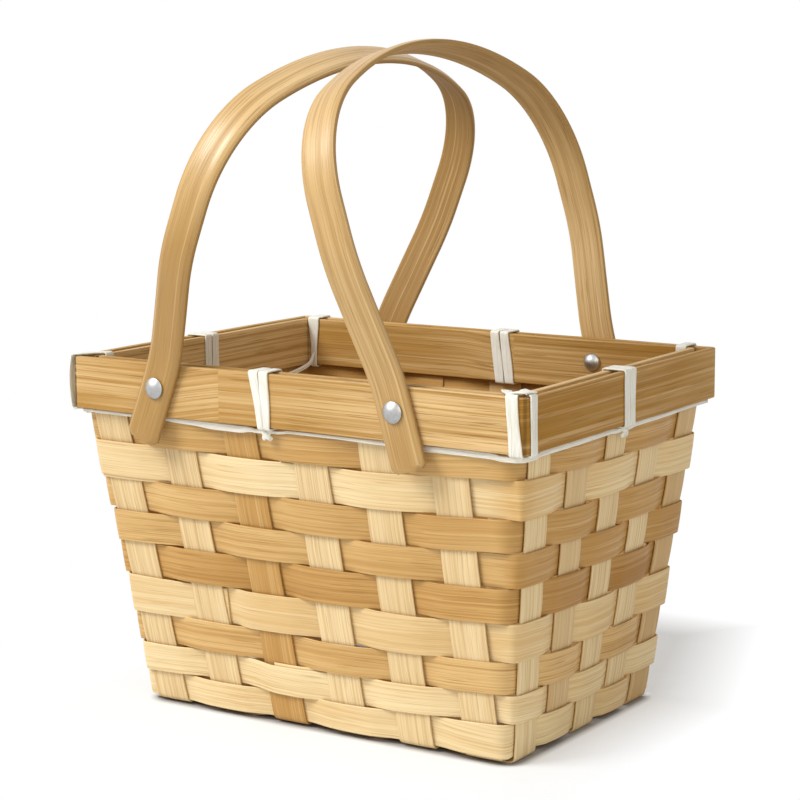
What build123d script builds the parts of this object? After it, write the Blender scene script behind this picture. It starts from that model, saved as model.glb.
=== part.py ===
from build123d import *
from math import asin, cos, radians, sin
import os

# A rectangular basket woven from flat bamboo strips, with a hoop inside and a hoop
# outside the rim, white lacing round them, and two bent handles that swing on rivets.
# X runs along the long sides, Y from the front to the back and Z upwards. The origin is
# the middle of the underside. Lengths are millimetres and angles are degrees.

# Body
basket_height = 140.0
base_length = 168.0
base_width = 113.0
rim_length = 201.6
rim_width = 154.0
rim_height = 20.4

# Woven strips
stake_width = 15.2
stake_thickness = 0.8
weaver_height = 12.8
weaver_thickness = 0.7
weaver_rows = 10
row_gap = 0.3
strip_gap = 0.2
flat_margin = 0.4
weave_corner_radius = 1.6
weave_corner_clearance = 0.4
stake_recess = 1.0

# Strips that cross the base from front to back
cross_count = 6
cross_rim_spread_share = 0.889

# Strips that run the length of the base
length_count = 5
length_rim_spread_share = 0.97

# Half lap where the two ends of a woven ring meet
lap_length = 7.0
lap_gap = 0.14
lap_end_gap = 0.3
lap_after_stake = [12, 0, 19, 0, 13, 7, 18, 12, 14, 13]

# Rim hoops
hoop_thickness = 2.6
hoop_gap = 0.3
outer_hoop_radius = 3.5
inner_hoop_radius = 4.0
scarf_length = 20.0
scarf_gap = 0.15
outer_scarf_x = -31.0
inner_scarf_x = 12.0

# Lacing
lacing_thickness = 0.7
lacing_slack = 0.1
lacing_clearance = 0.2
corner_band_width = 5.0
middle_band_width = 4.3
middle_band_gap = 0.3
# Places of the front and back bands, as shares of half the rim length
front_band_top_share = -0.134
front_band_bottom_share = -0.0942
back_band_top_share = 0.0546
back_band_bottom_share = 0.0784
end_band_y = 0.5
run_height = 3.2
run_gap = 0.25
knot_length = 6.5
knot_height = 4.2
knot_thickness = 1.5
knot_gap = 0.1

# Handles
handle_left_share = -0.58
handle_right_share = 0.486
handle_top_spacing = 22.0
handle_width = 14.5
handle_thickness = 2.6
handle_gap = 0.3
handle_tail = 22.0
handle_reach = 133.0
handle_bulge = 11.4
handle_bend_start = 12.0
handle_bend_end_share = 0.41
handle_low_radius = 60.0
handle_mid_share = 0.6
handle_top_radius = 150.0
handle_shoulder_share = 0.36
handle_bevel = 0.7
handle_corner_clip = 2.0

# Rivets
rivet_drop = 9.0
rivet_shank_radius = 1.8
rivet_head_radius = 4.0
rivet_head_height = 2.4
rivet_edge_height = 0.6
rivet_tail_radius = 3.6
rivet_tail_height = 2.6
rivet_seat_gap = 0.1
running_clearance = 0.05

# How far every cutting tool runs past what it cuts
overrun = 2.0

# Sizes that follow from those above
weave_offset = (stake_thickness + weaver_thickness) / 2 + strip_gap
weave_half = weave_offset + weaver_thickness / 2
base_middle_z = 1.5 * stake_thickness + strip_gap
base_thickness = 2 * base_middle_z
row_pitch = weaver_height + row_gap
first_row_z = base_thickness + row_gap
bend_z = first_row_z + (weaver_rows - 1) * row_pitch - row_gap / 2
stake_top = basket_height - stake_recess
rim_bottom = basket_height - rim_height

base_half_length = base_length / 2 - weave_half
base_half_width = base_width / 2 - weave_half
rim_half_length = rim_length / 2 - hoop_thickness - hoop_gap - weave_half
rim_half_width = rim_width / 2 - hoop_thickness - hoop_gap - weave_half
slope_x = (rim_half_length - base_half_length) / (bend_z - base_middle_z)
slope_y = (rim_half_width - base_half_width) / (bend_z - base_middle_z)

wall_step = max(slope_x, slope_y) * (bend_z - rim_bottom)
inner_hoop_inset = hoop_thickness + 2 * hoop_gap + 2 * weave_half + wall_step
rim_depth = inner_hoop_inset + hoop_thickness

band_bottom = rim_bottom - lacing_slack - lacing_thickness
pivot_z = basket_height - rivet_drop
handle_half_inside = rim_width / 2 + handle_gap
rivet_hole_radius = rivet_shank_radius + running_clearance
front_band_top = front_band_top_share * rim_length / 2
front_band_bottom = front_band_bottom_share * rim_length / 2
back_band_top = back_band_top_share * rim_length / 2
back_band_bottom = back_band_bottom_share * rim_length / 2
pivot_left = handle_left_share * rim_length / 2
pivot_right = handle_right_share * rim_length / 2


def half_length(z):
    """Half the length of the weave's middle surface at a height."""
    return rim_half_length - slope_x * max(bend_z - z, 0)


def half_width(z):
    """Half the width of the weave's middle surface at a height."""
    return rim_half_width - slope_y * max(bend_z - z, 0)


def outer_reach(half_wall):
    """How far from the middle of a wall its outermost strip may lie, beside the corner."""
    return half_wall - weave_corner_radius - weave_corner_clearance - stake_width / 2 - flat_margin


# A woven ring comes nearest to the outermost strips at one of its edges, half a ring away
# from the height at which its place along the walls is measured.
edge_step_x = abs(slope_x) * weaver_height / 2
edge_step_y = abs(slope_y) * weaver_height / 2
cross_reach_base = outer_reach(half_length(0) - edge_step_x)
cross_reach_rim = outer_reach(rim_half_length - edge_step_x)
length_reach_base = outer_reach(half_width(0) - edge_step_y)
length_reach_rim = outer_reach(rim_half_width - edge_step_y)


def cross_centre(index, z):
    """X of the middle of a front-to-back strip at a height; the strips lean to the left."""
    side = 2 * index / (cross_count - 1) - 1
    at_rim = cross_reach_rim * (side * cross_rim_spread_share - (1 - cross_rim_spread_share))
    at_base = cross_reach_base * side
    return at_base + (at_rim - at_base) * min(z / bend_z, 1)


def length_centre(index, z):
    """Y of the middle of a lengthwise strip at a height."""
    side = 2 * index / (length_count - 1) - 1
    at_rim = length_reach_rim * side * length_rim_spread_share
    at_base = length_reach_base * side
    return at_base + (at_rim - at_base) * min(z / bend_z, 1)


def export(part, name):
    """Label a finished piece and write it."""
    part.label = name
    export_step(part, f"parts/{name}.step")


# A station is a place on a ring: the wall it lies on, how far along that wall, and how
# far outside the wall's middle surface. Walls are front, right, back and left, in the
# order in which the ring runs, and a corner station is written with its turn in degrees.

FRONT, RIGHT, BACK, LEFT = range(4)


def station_point(station, z, beyond):
    """Place of a station at a height, moved outwards by a distance."""
    wall, along, offset, turn = station
    a, b = half_length(z), half_width(z)
    out = offset + beyond
    if turn is None:
        across = (b if wall in (FRONT, BACK) else a) + out
        points = {
            FRONT: (along, -across),
            RIGHT: (across, along),
            BACK: (along, across),
            LEFT: (-across, along),
        }
        return Vector(*points[wall])
    reach = weave_corner_radius + out
    sides = {FRONT: (1, -1), RIGHT: (1, 1), BACK: (-1, 1), LEFT: (-1, -1)}
    side_x, side_y = sides[wall]
    to_x, to_y = (sin(radians(turn)), cos(radians(turn)))
    if wall in (RIGHT, LEFT):
        to_x, to_y = to_y, to_x
    return Vector(
        side_x * (a - weave_corner_radius + reach * to_x),
        side_y * (b - weave_corner_radius + reach * to_y),
    )


def corner_stations(wall, offset_before, offset_after):
    """Three stations that take a ring round the corner at the end of a wall."""
    middle = (offset_before + offset_after) / 2
    return [(wall, 0, offset_before, 0), (wall, 0, middle, 45), (wall, 0, offset_after, 90)]


def woven_stations(row):
    """Stations of a woven ring, and the place in the list of each stake's last one."""
    z = first_row_z + row * row_pitch + weaver_height / 2
    flat = stake_width / 2 + flat_margin
    cross = [cross_centre(index, z) for index in range(cross_count)]
    length = [length_centre(index, z) for index in range(length_count)]
    walls = [(FRONT, cross, 1), (RIGHT, length, 1), (BACK, cross[::-1], -1), (LEFT, length[::-1], -1)]
    numbered, number = [], 0
    for wall, centres, way in walls:
        stakes = []
        for centre in centres:
            inside = (number + row) % 2 == 0
            stakes.append((centre, -weave_offset if inside else weave_offset))
            number += 1
        numbered.append((wall, stakes, way))
    stations, last_of_stake = [], []
    for index, (wall, stakes, way) in enumerate(numbered):
        for centre, offset in stakes:
            stations.append((wall, centre - way * flat, offset, None))
            stations.append((wall, centre + way * flat, offset, None))
            last_of_stake.append(len(stations) - 1)
        next_stakes = numbered[(index + 1) % len(numbered)][1]
        stations += corner_stations(wall, stakes[-1][1], next_stakes[0][1])
    return stations, last_of_stake


def plain_stations(offset):
    """Stations of a ring that runs straight along all four walls."""
    stations = []
    for wall in (FRONT, RIGHT, BACK, LEFT):
        stations += corner_stations(wall, offset, offset)
    return stations


def ring_outline(stations, z, thickness, lap_index):
    """Outline of an open ring whose ends overlap, each thinned to half, after a station."""
    order = stations[lap_index + 1:] + stations[: lap_index + 1]
    half = thickness / 2
    first, last = order[0], order[-1]
    run = (station_point(first, z, 0) - station_point(last, z, 0)).length
    lap = min(lap_length, run - 4 * lap_end_gap)

    def on_lap(distance, beyond):
        start, end = station_point(last, z, beyond), station_point(first, z, beyond)
        return start + (end - start) * (0.5 + distance / run)

    outer = [station_point(station, z, half) for station in order]
    inner = [station_point(station, z, -half) for station in reversed(order)]
    tip, root, step = lap / 2, lap / 2 + lap_end_gap, lap_gap / 2
    outer_end = [on_lap(tip, half), on_lap(tip, step), on_lap(-root, step), on_lap(-root, -half)]
    inner_end = [on_lap(-tip, -half), on_lap(-tip, -step), on_lap(root, -step), on_lap(root, half)]
    return outer + outer_end + inner + inner_end


def strip_outline(route, thickness):
    """Both edges of a strip of even thickness that follows straight runs."""
    runs = [(end - start).normalized() for start, end in zip(route, route[1:])]
    edges = []
    for side in (1, -1):
        edge = []
        for corner, before, after in zip(route, [runs[0]] + runs, runs + [runs[-1]]):
            normal = Vector(-before.Y, before.X) * side
            bisector = (normal + Vector(-after.Y, after.X) * side).normalized()
            edge.append(corner + bisector * (thickness / 2 / bisector.dot(normal)))
        edges.append(edge)
    return edges[0] + edges[1][::-1]


def band_places():
    """Wall, centre at the rim's top, centre at its underside and width of each band."""
    from_corner = rim_depth + lacing_slack + lacing_thickness + lacing_clearance + corner_band_width / 2
    corner_x = rim_length / 2 - from_corner
    corner_y = rim_width / 2 - from_corner
    step = (middle_band_width + middle_band_gap) / 2
    middle = {
        "front_middle": (FRONT, front_band_top, front_band_bottom),
        "right_middle": (RIGHT, end_band_y, end_band_y),
        "back_middle": (BACK, back_band_top, back_band_bottom),
        "left_middle": (LEFT, -end_band_y, -end_band_y),
    }
    places = {}
    for name, (wall, top, bottom) in middle.items():
        places[name] = [(wall, top + move, bottom + move, middle_band_width) for move in (-step, step)]
    places["near_corner"] = [
        (FRONT, corner_x, corner_x, corner_band_width),
        (RIGHT, -corner_y, -corner_y, corner_band_width),
    ]
    places["left_corner"] = [(LEFT, -corner_y, -corner_y, corner_band_width)]
    places["back_corner"] = [(BACK, -corner_x, -corner_x, corner_band_width)]
    places["right_corner"] = [(BACK, corner_x, corner_x, corner_band_width)]
    return places


def cut_band_tunnels(walls):
    """Cut the slits through which the lacing passes under the hoops."""
    for bands in band_places().values():
        for wall, top, bottom, width in bands:
            if wall not in walls:
                continue
            long_side = wall in (FRONT, BACK)
            outside = (rim_width if long_side else rim_length) / 2
            across = (outside - rim_depth / 2) * (-1 if wall in (FRONT, LEFT) else 1)
            z = band_bottom + lacing_thickness / 2
            slit = width + 2 * lacing_clearance
            depth = rim_depth + 2 * overrun
            height = lacing_thickness + 2 * lacing_clearance
            with Locations((bottom, across, z) if long_side else (across, bottom, z)):
                Box(slit if long_side else depth, depth if long_side else slit, height, mode=Mode.SUBTRACT)


def cut_rivet_holes(pivots):
    """Drill the rivets' holes through the front and the back."""
    for x in pivots:
        with Locations(Location((x, 0, pivot_z), (90, 0, 0))):
            Cylinder(rivet_hole_radius, rim_width + 2 * overrun, mode=Mode.SUBTRACT)


def stake_outline(base_centre, rim_centre):
    """Face-on outline of a stake, which leans over as it rises and stands upright in the rim."""
    half = stake_width / 2
    right_edge = [(base_centre + half, 0), (rim_centre + half, bend_z), (rim_centre + half, stake_top)]
    left_edge = [(rim_centre - half, stake_top), (rim_centre - half, bend_z), (base_centre - half, 0)]
    return right_edge + left_edge


def dome(radius, edge, top):
    """Half of a round dome's outline, from its edge to its top, which lies on the axis."""
    height = top - edge
    sphere = (radius**2 + height**2) / (2 * abs(height))
    middle = asin(radius / sphere) / 2
    rise = sphere * cos(middle) - (sphere - abs(height))
    halfway = (sphere * sin(middle), edge + rise * height / abs(height))
    return ThreePointArc((radius, edge), halfway, (0, top), mode=Mode.PRIVATE)


def lacing_band(wall, top, bottom, width):
    """One flat turn of lacing round the rim, leaning from its top place to its bottom one."""
    long_side = wall in (FRONT, BACK)
    outside = (rim_width if long_side else rim_length) / 2
    across = (outside - rim_depth / 2) * (-1 if wall in (FRONT, LEFT) else 1)
    section, face = (Plane.YZ, Plane.XZ) if long_side else (Plane.XZ, Plane.YZ)
    depth = rim_depth + 2 * lacing_slack
    height = rim_height + 2 * lacing_slack
    low = band_bottom
    high = basket_height + lacing_slack + lacing_thickness
    with BuildPart() as band:
        with BuildSketch(section):
            with Locations((across, rim_bottom + rim_height / 2)):
                Rectangle(depth + 2 * lacing_thickness, height + 2 * lacing_thickness)
                Rectangle(depth, height, mode=Mode.SUBTRACT)
        extrude(amount=rim_length, both=True)
        with BuildSketch(face):
            with BuildLine():
                Polyline(
                    (bottom - width / 2, low),
                    (bottom + width / 2, low),
                    (top + width / 2, high),
                    (top - width / 2, high),
                    close=True,
                )
            make_face()
        extrude(amount=outside + overrun, both=True, mode=Mode.INTERSECT)
    return band.part


os.makedirs("parts", exist_ok=True)

# Front-to-back strips: up the front, across the base and up the back
for index in range(cross_count):
    side = [
        Vector(rim_half_width, stake_top),
        Vector(rim_half_width, bend_z),
        Vector(base_half_width, base_middle_z),
    ]
    route = side + [Vector(-point.X, point.Y) for point in reversed(side)]
    with BuildPart() as cross_strip:
        with BuildSketch(Plane.YZ):
            with BuildLine():
                Polyline(*strip_outline(route, stake_thickness), close=True)
            make_face()
        extrude(amount=rim_length, both=True)
        with BuildSketch(Plane.XZ):
            with BuildLine():
                ends = (cross_centre(index, 0), cross_centre(index, stake_top))
                Polyline(*stake_outline(*ends), close=True)
            make_face()
        extrude(amount=rim_width, both=True, mode=Mode.INTERSECT)
        cut_band_tunnels((FRONT, BACK))
        cut_rivet_holes((pivot_left, pivot_right))
    export(cross_strip.part, f"cross_strip_{index + 1}")

# Lengthwise strips: up one end, over and under the crossing strips, and up the other end
weave_step = stake_thickness + strip_gap
for index in range(length_count):
    flat = stake_width / 2 + flat_margin
    sides = [1 if (index + crossing) % 2 == 0 else -1 for crossing in range(cross_count)]
    levels = [base_middle_z + weave_step * side for side in sides]
    left_end = [
        Vector(-rim_half_length, stake_top),
        Vector(-rim_half_length, bend_z),
        Vector(-half_length(levels[0]), levels[0]),
    ]
    right_end = [
        Vector(half_length(levels[-1]), levels[-1]),
        Vector(rim_half_length, bend_z),
        Vector(rim_half_length, stake_top),
    ]
    floor = []
    for crossing, level in enumerate(levels):
        centre = cross_centre(crossing, 0)
        floor += [Vector(centre - flat, level), Vector(centre + flat, level)]
    with BuildPart() as length_strip:
        with BuildSketch(Plane.XZ):
            with BuildLine():
                Polyline(*strip_outline(left_end + floor[1:-1] + right_end, stake_thickness), close=True)
            make_face()
        extrude(amount=rim_width, both=True)
        with BuildSketch(Plane.YZ):
            with BuildLine():
                ends = (length_centre(index, 0), length_centre(index, stake_top))
                Polyline(*stake_outline(*ends), close=True)
            make_face()
        extrude(amount=rim_length, both=True, mode=Mode.INTERSECT)
        cut_band_tunnels((RIGHT, LEFT))
    export(length_strip.part, f"length_strip_{index + 1}")

# Woven rings, from the bottom up; each passes inside and outside the stakes in turn
for row in range(weaver_rows):
    stations, last_of_stake = woven_stations(row)
    lap_index = last_of_stake[lap_after_stake[row % len(lap_after_stake)]]
    bottom = first_row_z + row * row_pitch
    top = bottom + weaver_height
    with BuildPart() as weaver:
        for z in (bottom, top):
            with BuildSketch(Plane.XY.offset(z)):
                with BuildLine():
                    Polyline(*ring_outline(stations, z, weaver_thickness, lap_index), close=True)
                make_face()
        loft(ruled=True)
        if bottom < rim_bottom < top:
            cut_band_tunnels((FRONT, RIGHT, BACK, LEFT))
        if bottom < pivot_z < top:
            cut_rivet_holes((pivot_left, pivot_right))
    export(weaver.part, f"weaver_row_{row + 1:02d}")

# Rim hoops: a flat strip bent into a rounded rectangle, its ends cut to a long scarf
for name, inset, radius, scarf_x, side in (
    ("outer_hoop", 0, outer_hoop_radius, outer_scarf_x, -1),
    ("inner_hoop", inner_hoop_inset, inner_hoop_radius, inner_scarf_x, 1),
):
    outside = rim_width / 2 - inset
    run_out = scarf_length / hoop_thickness * overrun
    slit = scarf_gap * scarf_length / hoop_thickness
    with BuildPart() as hoop:
        with BuildSketch(Plane.XY.offset(rim_bottom)):
            RectangleRounded(rim_length - 2 * inset, rim_width - 2 * inset, radius)
            offset(amount=-hoop_thickness, mode=Mode.SUBTRACT)
            with BuildLine():
                Polyline(
                    (scarf_x - run_out, side * (outside + overrun)),
                    (scarf_x - run_out + slit, side * (outside + overrun)),
                    (scarf_x + scarf_length + run_out + slit, side * (outside - hoop_thickness - overrun)),
                    (scarf_x + scarf_length + run_out, side * (outside - hoop_thickness - overrun)),
                    close=True,
                )
            make_face(mode=Mode.SUBTRACT)
        extrude(amount=rim_height)
        cut_rivet_holes((pivot_left, pivot_right))
    export(hoop.part, name)

# Lacing bands, each one turn round the hoops and the top of the weave
for name, places in band_places().items():
    bands = [lacing_band(*place) for place in places]
    with BuildPart() as lacing:
        add(bands)
    export(lacing.part, f"lacing_{name}")

# The lacing's running strand, which lies outside the weave just under the rim
run_offset = weave_half + run_gap + lacing_thickness / 2
run_top = band_bottom - lacing_clearance
run_stations = plain_stations(run_offset)
with BuildPart() as lacing_run:
    for z in (run_top - run_height, run_top):
        with BuildSketch(Plane.XY.offset(z)):
            with BuildLine():
                lap_index = len(run_stations) - 1
                Polyline(*ring_outline(run_stations, z, lacing_thickness, lap_index), close=True)
            make_face()
    loft(ruled=True)
export(lacing_run.part, "lacing_run")

# Flat knots on the running strand at the front and at the right end
knot_z = run_top - knot_height / 2
knot_out = weave_half + run_gap + lacing_thickness + knot_gap + knot_thickness / 2
with BuildPart() as knots:
    with Locations((front_band_bottom, -half_width(knot_z + knot_height / 2) - knot_out, knot_z)):
        Box(knot_length, knot_thickness, knot_height)
    with Locations((half_length(knot_z + knot_height / 2) + knot_out, end_band_y, knot_z)):
        Box(knot_thickness, knot_length, knot_height)
    chamfer(knots.edges(), knot_thickness / 4)
export(knots.part, "lacing_knots")

# Handles: a flat strip bent into a broad arch, hung on one rivet at the front and one at the back
foot = handle_half_inside + handle_thickness
bend_end = handle_reach * handle_bend_end_share
shoulder_radius = handle_reach * handle_shoulder_share
shoulder = foot + handle_bulge
crown = handle_reach + handle_thickness / 2
shoulder_height = crown - handle_top_radius + (handle_top_radius**2 - shoulder**2) ** 0.5
mid_radius = handle_reach * handle_mid_share
left_sine = (-pivot_left - handle_top_spacing / 2) / crown
right_sine = (handle_top_spacing / 2 - pivot_right) / crown
for name, pivot_x, lean_sine in (
    ("handle_left", pivot_left, left_sine),
    ("handle_right", pivot_right, right_sine),
):
    across = Vector((1 - lean_sine**2) ** 0.5, 0, -lean_sine)
    arch_plane = Plane(origin=(pivot_x, 0, pivot_z), x_dir=(0, 1, 0), z_dir=across)
    with BuildPart() as handle:
        with BuildSketch(arch_plane) as arch:
            with BuildLine():
                leg = Polyline(
                    (foot, -handle_tail - handle_thickness),
                    (foot, handle_bend_start),
                    (shoulder, bend_end),
                    (shoulder, shoulder_height),
                )
                ThreePointArc(leg @ 1, (0, crown), (-shoulder, shoulder_height))
                mirror(leg, about=Plane.YZ)
                Line((-foot, -handle_tail - handle_thickness), leg @ 0)
            make_face()
            fillet(arch.vertices().group_by(Axis.Y)[-1], shoulder_radius)
            fillet(arch.vertices().group_by(Axis.Y)[2], mid_radius)
            fillet(arch.vertices().group_by(Axis.Y)[1], handle_low_radius)
        extrude(amount=handle_width / 2, both=True)
        chamfer(handle.faces().filter_by(arch_plane).edges(), handle_bevel)
        with BuildSketch(arch_plane):
            add(arch.sketch_local)
            offset(amount=-handle_thickness)
            with Locations((0, -handle_tail - handle_thickness / 2)):
                Rectangle(2 * shoulder, handle_thickness)
        extrude(amount=handle_width, both=True, mode=Mode.SUBTRACT)
        tail_edges = handle.edges().filter_by(Axis.Y).filter_by(lambda edge: edge.center().Z < pivot_z)
        chamfer(tail_edges, handle_corner_clip)
        with Locations(Location((pivot_x, 0, pivot_z), (90, 0, 0))):
            Cylinder(rivet_hole_radius, 2 * (foot + overrun), mode=Mode.SUBTRACT)
    export(handle.part, name)

# Rivets: a domed head outside the handle and a domed end inside the rim
head_seat = handle_half_inside + handle_thickness + rivet_seat_gap
tail_seat = rim_width / 2 - rim_depth - rivet_seat_gap
for name, pivot_x, side in (
    ("rivet_front_left", pivot_left, -1),
    ("rivet_front_right", pivot_right, -1),
    ("rivet_back_left", pivot_left, 1),
    ("rivet_back_right", pivot_right, 1),
):
    axis_plane = Plane(origin=(pivot_x, 0, pivot_z), x_dir=(1, 0, 0), z_dir=(0, 0, side))
    with BuildPart() as rivet:
        with BuildSketch(axis_plane):
            with BuildLine():
                head_top = (0, head_seat + rivet_head_height)
                tail_top = (0, tail_seat - rivet_tail_height)
                Polyline(
                    (rivet_tail_radius, tail_seat - rivet_edge_height),
                    (rivet_tail_radius, tail_seat),
                    (rivet_shank_radius, tail_seat),
                    (rivet_shank_radius, head_seat),
                    (rivet_head_radius, head_seat),
                    (rivet_head_radius, head_seat + rivet_edge_height),
                )
                add(dome(rivet_head_radius, head_seat + rivet_edge_height, head_seat + rivet_head_height))
                Line(head_top, tail_top)
                add(dome(rivet_tail_radius, tail_seat - rivet_edge_height, tail_seat - rivet_tail_height))
            make_face()
        revolve(axis=Axis((pivot_x, 0, pivot_z), (0, 1, 0)))
    export(rivet.part, name)
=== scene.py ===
"""Bamboo basket with two swinging handles: its visible pieces and their finishes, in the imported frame."""

from __future__ import annotations

import logging
import math
import random
from dataclasses import dataclass
from enum import Enum, IntEnum

import bmesh
import bpy
from mathutils import Matrix, Vector

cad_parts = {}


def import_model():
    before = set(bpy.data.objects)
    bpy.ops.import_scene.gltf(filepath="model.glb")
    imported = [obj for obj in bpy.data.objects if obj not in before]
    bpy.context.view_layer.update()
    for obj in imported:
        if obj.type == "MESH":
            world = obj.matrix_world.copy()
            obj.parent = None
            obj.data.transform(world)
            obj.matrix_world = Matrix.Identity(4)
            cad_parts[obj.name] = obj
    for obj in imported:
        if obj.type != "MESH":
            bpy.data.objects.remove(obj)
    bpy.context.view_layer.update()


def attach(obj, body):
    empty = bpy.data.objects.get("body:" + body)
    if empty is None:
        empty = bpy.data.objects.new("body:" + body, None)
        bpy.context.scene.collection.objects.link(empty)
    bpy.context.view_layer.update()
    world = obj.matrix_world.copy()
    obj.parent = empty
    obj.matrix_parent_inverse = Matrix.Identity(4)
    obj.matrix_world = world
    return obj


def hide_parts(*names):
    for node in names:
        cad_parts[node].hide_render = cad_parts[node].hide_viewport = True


LOG = logging.getLogger("basket")

Colour = tuple[float, float, float]
Pair = tuple[float, float]
Socket = bpy.types.NodeSocket
Mesh = bmesh.types.BMesh
Piece = bpy.types.Object

MM = 0.001
UP = Vector((0.0, 0.0, 1.0))
QUARTER = math.pi / 2
MERGE_GAP = 0.0005
TOUCH = 0.01
SAME_WAY = 0.99
EDGE_LIMIT = 0.48
SHARP_ANGLE = math.radians(40)
WHITE = (1.0, 1.0, 1.0)

# Layers of a strip's mesh that the bamboo's material reads.
GRAIN = "grain"
TONE = "tone"
# The scorch layer darkens towards burnt brown: real scorch at the rim's bends, and on back faces a darkening
# that is partly painted shade.
SCORCH_AND_SHADE = "scorch"
INNER = "inner"

# Where on the grain map each kind of strip starts, in millimetres, so that no two show the same wood.
CROSS_GRAIN = 0.0
LENGTH_GRAIN = 7000.0
RING_GRAIN = 14000.0
HOOP_GRAIN = 31000.0
BAND_GRAIN = 45000.0
STRAND_GRAIN = 52000.0
RUN_GRAIN = 54000.0
HANDLE_GRAIN = 60000.0

# Rays that show the floor and the world as the camera sees them.
MIRROR_RAYS = ("Is Glossy Ray", "Is Transmission Ray")

# The shader's input for the strength of its gloss, and the colour sockets of a Mix node.
GLOSS = "Specular IOR Level"
MIX_SHARE = 0
MIX_FIRST = 6
MIX_SECOND = 7
MIX_RESULT = 2


class Wall(IntEnum):
    """The basket's four walls, in the order in which a woven ring runs."""

    FRONT = 0
    RIGHT = 1
    BACK = 2
    LEFT = 3


class Body(Enum):
    """The bodies that the pieces ride on."""

    BASKET = "basket"
    LEFT_HANDLE = "left_handle"
    RIGHT_HANDLE = "right_handle"


class Slot(Enum):
    """The record's material slots, one for each finish."""

    LIGHT = "light_bamboo"
    TAN = "tan_bamboo"
    BROWN = "brown_bamboo"
    STAKE = "stake_bamboo"
    RIM = "rim_bamboo"
    HANDLE = "handle_bamboo"
    LACING = "white_lacing"
    METAL = "rivet_metal"


# Which way each wall faces, and which way a ring runs along it.
OUTWARD = {
    Wall.FRONT: Vector((0.0, -1.0, 0.0)),
    Wall.RIGHT: Vector((1.0, 0.0, 0.0)),
    Wall.BACK: Vector((0.0, 1.0, 0.0)),
    Wall.LEFT: Vector((-1.0, 0.0, 0.0)),
}
ONWARD = {
    Wall.FRONT: Vector((1.0, 0.0, 0.0)),
    Wall.RIGHT: Vector((0.0, 1.0, 0.0)),
    Wall.BACK: Vector((-1.0, 0.0, 0.0)),
    Wall.LEFT: Vector((0.0, -1.0, 0.0)),
}

# Number of each wall's first stake, in the order in which a ring meets them.
FIRST_STAKE = {Wall.FRONT: 0, Wall.RIGHT: 6, Wall.BACK: 11, Wall.LEFT: 17}

# Distance from the near corner, in millimetres, of the stakes beside it and of all the others.
STAKE_FROM_NEAR = {3: 85.0, 4: 50.0, 5: 20.0, 6: 12.0, 7: 38.0, 8: 65.0}
FAR_STAKE = 200.0

# Places on a lengthwise strip in the base: on the flat of a crossing, and on the way to the next.
FLAT_SHARES = (-1.0, -0.5, 0.0, 0.5, 1.0)
RAMP_SHARES = (0.2, 0.4, 0.6, 0.8)


def smooth(share: float) -> float:
    """Ease a share from 0 to 1 with level ends."""
    share = min(max(share, 0.0), 1.0)
    return share * share * (3.0 - 2.0 * share)


def mix(start: float, end: float, share: float) -> float:
    """Value between two others."""
    return start + (end - start) * share


@dataclass(frozen=True)
class Wave:
    """A slow irregularity along a strip, as hand-split bamboo has."""

    size: float
    reach: float = 1.0
    count: int = 1

    def at(self, place: float, phase: float) -> float:
        """Height of the wave at a place."""
        return self.size * math.sin(place * self.count / self.reach + phase)


def wave_starts(seed: int, count: int) -> list[float]:
    """Where a strip's waves start, the same at every run."""
    chance = random.Random(seed)
    return [chance.uniform(0, math.tau) for _ in range(count)]


def put(mesh: Mesh, name: str) -> Piece:
    """Put a mesh into the scene as an object.

    Args:
        mesh: The mesh, which is used up.
        name: Name of the object.

    Returns:
        The object.
    """
    data = bpy.data.meshes.new(name)
    mesh.to_mesh(data)
    mesh.free()
    piece = bpy.data.objects.new(name, data)
    bpy.context.scene.collection.objects.link(piece)
    return piece


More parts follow.
